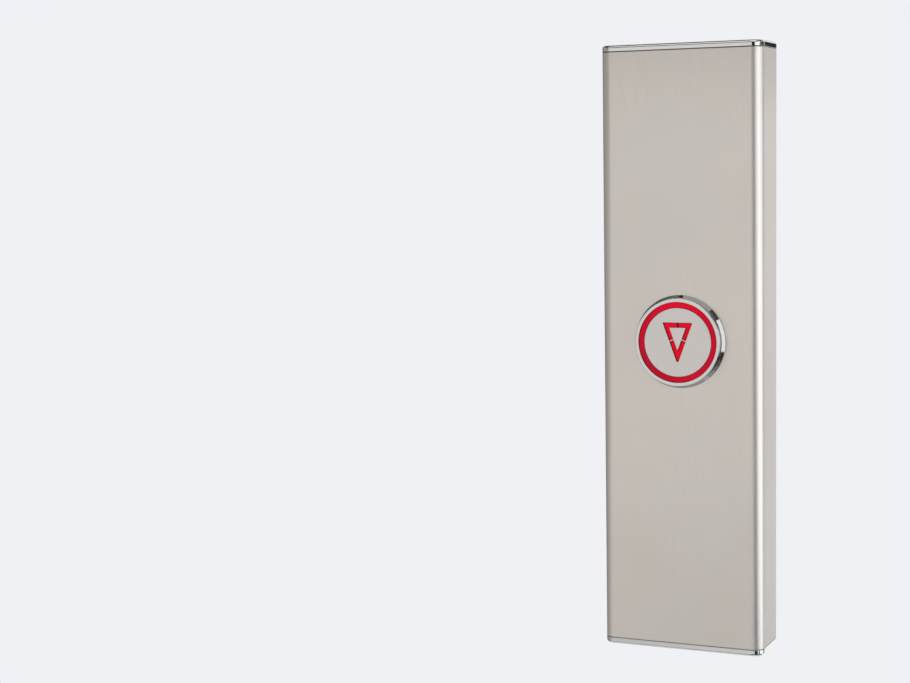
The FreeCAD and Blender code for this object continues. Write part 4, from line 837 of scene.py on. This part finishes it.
# cards in the gloss, the nearest first and in front of the others: height angles of the lower and
# the upper edge, azimuths at the lower one, azimuths at the upper one, level
cards = {
    "collarCard": ((-65, -53), (50, 92), (56, 90), 0.56),
    "throatCard": ((-53, -44), (56, 90), (60, 88), 0.33),
    "chinFlag": ((-44, -34), (60, 88), (64, 86), 0.19),
    "jawFlag": ((-34, -20), (64, 86), (70, 84), 0.08),
    "cheekCard": ((17, 33), (68, 84), (68, 84), 1.9),
    "lashFlag": ((33, 52), (64, 86), (60, 90), 0.12),
    "cornerFlag": ((9.2, 10.6), (78, 148), (78, 148), 0.0),
    "coreCard": ((-24, 17), (84, 116), (42, 85), 1.85),
    "rightCard": ((-26, 18), (65, 140), (21, 118), 1.32),
    "rearCard": ((7, 20), (162, 168), (162, 168), 0.03),
    "frontFlag": ((-26, 18), (32, 65), (-9, 21), 0.03),
    "gapFlag": ((-26, 18), (140, 159), (118, 136), 0.0),
    "warmCard": ((34, 60), (0, 50), (0, 50), 1.7),
    "upperFlag": ((15, 52), (14, 140), (14, 140), 0.03),
    "crownFlag": ((15, 33), (-70, 14), (-70, 14), 0.03),
    "crownCard": ((33, 74), (-45, 14), (-45, 14), 1.2),
    "domeFlag": ((38, 78), (-140, -45), (-140, -45), 0.03),
    "noonCard": ((52, 89), (-100, 100), (-100, 100), 0.75),
    "zenithFlag": ((52, 89), (100, 260), (100, 260), 0.3),
    "browCard": ((4, 8.5), (-27, 3), (-27, 0), 1.55),
    "peakCard": ((8.5, 15), (-34, 0), (-34, -5), 0.97),
    "templeCard": ((-1, 15), (-62, -27), (-62, -27), 0.45),
    "shinCard": ((-14, -10), (-50, 13), (-50, 10), 0.96),
    "lowerFlag": ((-60, -26), (-12, 110), (-12, 110), 0.03),
    "underCard": ((-60, -34), (-60, -12), (-60, -12), 0.3),
    "soleCard": ((-30, -19.6), (-50, 20), (-50, 17), 0.93),
    "footCard": ((-19.6, -13), (-50, 17), (-50, 13), 0.76),
    "leftCard": ((-40, 40), (-34, 26), (-34, 2), 1.03),
    "shoulderCard": ((-40, 40), (-62, -34), (-62, -34), 0.6),
    "sideCard": ((-40, 40), (-100, -62), (-100, -62), 0.46),
    "rimCard": ((-40, 40), (-176, -100), (-176, -100), 0.28),
    "heelCard": ((-30, -12), (157, 184), (154, 184), 1.28),
    "backCard": ((-40, 40), (150, 184), (136, 184), 1.13),
}


def mirrored(tree, path):
    return calculate(tree, "MAXIMUM", path["Is Glossy Ray"], path["Is Transmission Ray"])


def makeWorld():
    # plain light from all round for matt surfaces, and the ground's colour wherever the world is seen
    world = bpy.data.worlds.new("studioAir")
    bpy.context.scene.world = world
    world.cycles.sampling_method = "NONE"
    tree = emptyTree(world)
    path = put(tree, "ShaderNodeLightPath").outputs
    seen = calculate(tree, "MAXIMUM", path["Is Camera Ray"], mirrored(tree, path))
    light = put(tree, "ShaderNodeBackground", {"Color": (1, 1, 1, 1), "Strength": studio["ambient"]})
    ground = put(tree, "ShaderNodeBackground", {"Color": (*studio["ground"], 1), "Strength": 1.0})
    mix = put(tree, "ShaderNodeMixShader", {0: seen, 1: light.outputs[0], 2: ground.outputs[0]})
    put(tree, "ShaderNodeOutputWorld", {"Surface": mix.outputs[0]})


def makeFloor():
    # a plane that shows the station's shadow near it and is plain ground beyond and in reflections
    half = studio["floorSize"] / 2
    level = cadBox[0].z - studio["floorDrop"]
    corners = [(x * half, y * half, level) for x, y in ((-1, -1), (1, -1), (1, 1), (-1, 1))]
    mesh = bpy.data.meshes.new("floor")
    mesh.from_pydata(corners, [], [(0, 1, 2, 3)])
    floor = bpy.data.objects.new("floor", mesh)
    bpy.context.scene.collection.objects.link(floor)
    material = bpy.data.materials.new("paleFloor")
    tree = emptyTree(material)
    colour = (*studio["ground"], 1)
    path = put(tree, "ShaderNodeLightPath").outputs
    flat = calculateVector(tree, "MULTIPLY", objectPlace(tree), (1, 1, 0))[0]
    away = calculateVector(tree, "LENGTH", flat)["Value"]
    plain = remap(tree, away, *studio["shadowReach"], 0.0, 1.0, True)
    seen = calculate(tree, "MAXIMUM", calculate(tree, "MULTIPLY", path["Is Camera Ray"], plain),
                     mirrored(tree, path))
    matt = put(tree, "ShaderNodeBsdfDiffuse", {"Color": colour})
    fill = calculate(tree, "MULTIPLY", path["Is Camera Ray"], 1 - studio["floorLight"])
    lift = put(tree, "ShaderNodeEmission", {"Color": colour, "Strength": fill})
    lit = put(tree, "ShaderNodeAddShader", {0: matt.outputs[0], 1: lift.outputs[0]})
    ground = put(tree, "ShaderNodeEmission", {"Color": colour, "Strength": 1.0})
    mix = put(tree, "ShaderNodeMixShader", {0: seen, 1: lit.outputs[0], 2: ground.outputs[0]})
    put(tree, "ShaderNodeOutputMaterial", {"Surface": mix.outputs[0]})
    mesh.materials.append(material)


def onDome(azimuth, elevation, distance):
    # a place seen from the station at an azimuth from -Y towards +X and a height angle, in degrees
    turn, rise = math.radians(azimuth), math.radians(elevation)
    return distance * Vector((math.sin(turn) * math.cos(rise), -math.cos(turn) * math.cos(rise),
                              math.sin(rise)))


def softLamp(name, azimuth, elevation, distance, width, height, level):
    # an area lamp facing the station, which only matt surfaces see
    lamp = bpy.data.lights.new(name, "AREA")
    lamp.shape = "RECTANGLE"
    lamp.size, lamp.size_y = width, height
    lamp.energy = level * math.pi * width * height
    holder = bpy.data.objects.new(name, lamp)
    bpy.context.scene.collection.objects.link(holder)
    holder.location = onDome(azimuth, elevation, distance)
    holder.rotation_euler = (-holder.location).to_track_quat("-Z", "Y").to_euler()
    holder.visible_camera = False
    holder.visible_glossy = False


def softCard(name, distance, heights, lowSpan, highSpan, level, tint):
    # a card bent round the station, only seen in its gloss: a patch of a sphere whose azimuths
    # shift evenly from lowSpan at its lower edge to highSpan at its upper edge
    rows, columns = studio["cardGrid"]
    upward = np.linspace(0, 1, rows)[:, None]
    across = np.linspace(0, 1, columns)[None, :]
    low, high = (span[0] + (span[1] - span[0]) * across for span in (lowSpan, highSpan))
    azimuth = np.radians(low + (high - low) * upward)
    height = np.radians(heights[0] + (heights[1] - heights[0]) * upward)
    points = distance * np.stack([np.sin(azimuth) * np.cos(height), -np.cos(azimuth) * np.cos(height),
                                  np.sin(height) + 0 * azimuth], -1)
    card = meshPiece(name, points, closedAcross=False)
    material = bpy.data.materials.new(name)
    tree = emptyTree(material)
    face = put(tree, "ShaderNodeEmission", {"Color": (*tint, 1), "Strength": level})
    put(tree, "ShaderNodeOutputMaterial", {"Surface": face.outputs[0]})
    card.data.materials.append(material)
    for ray in ("camera", "diffuse", "shadow", "transmission"):
        setattr(card, "visible_" + ray, False)


makeWorld()
makeFloor()
for name, values in lamps.items():
    softLamp(name, *values)
for step, (name, values) in enumerate(cards.items()):
    tint = studio["coolTint" if name in studio["coolCards"] else "warmTint"]
    softCard(name, studio["cardDistance"] + studio["cardStep"] * step, *values, tint)
print("studio made:", len(lamps), "lamps,", len(cards), "cards")

cameraSettings = {
    "place": (0.250875, -0.822307, 0.084563),
    "yaw": -24.4805,                  # degrees, positive turns towards +X
    "pitch": -5.4243,
    "roll": -0.9068,
    "lens": 72.939,
    "sensor": 36.0,
}


def makeCamera():
    yaw, pitch, roll = (math.radians(cameraSettings[name]) for name in ("yaw", "pitch", "roll"))
    ahead = Vector((math.sin(yaw) * math.cos(pitch), math.cos(yaw) * math.cos(pitch), math.sin(pitch)))
    level = Vector((math.cos(yaw), -math.sin(yaw), 0))
    above = level.cross(ahead)
    right = level * math.cos(roll) + above * math.sin(roll)
    up = above * math.cos(roll) - level * math.sin(roll)
    data = bpy.data.cameras.new("camera")
    data.lens = cameraSettings["lens"]
    data.sensor_width = cameraSettings["sensor"]
    holder = bpy.data.objects.new("camera", data)
    bpy.context.scene.collection.objects.link(holder)
    holder.location = cameraSettings["place"]
    holder.rotation_euler = Matrix((right, up, -ahead)).transposed().to_euler()
    bpy.context.scene.camera = holder


makeCamera()
print("camera placed")
bpy.context.scene.view_settings.view_transform = "Standard"
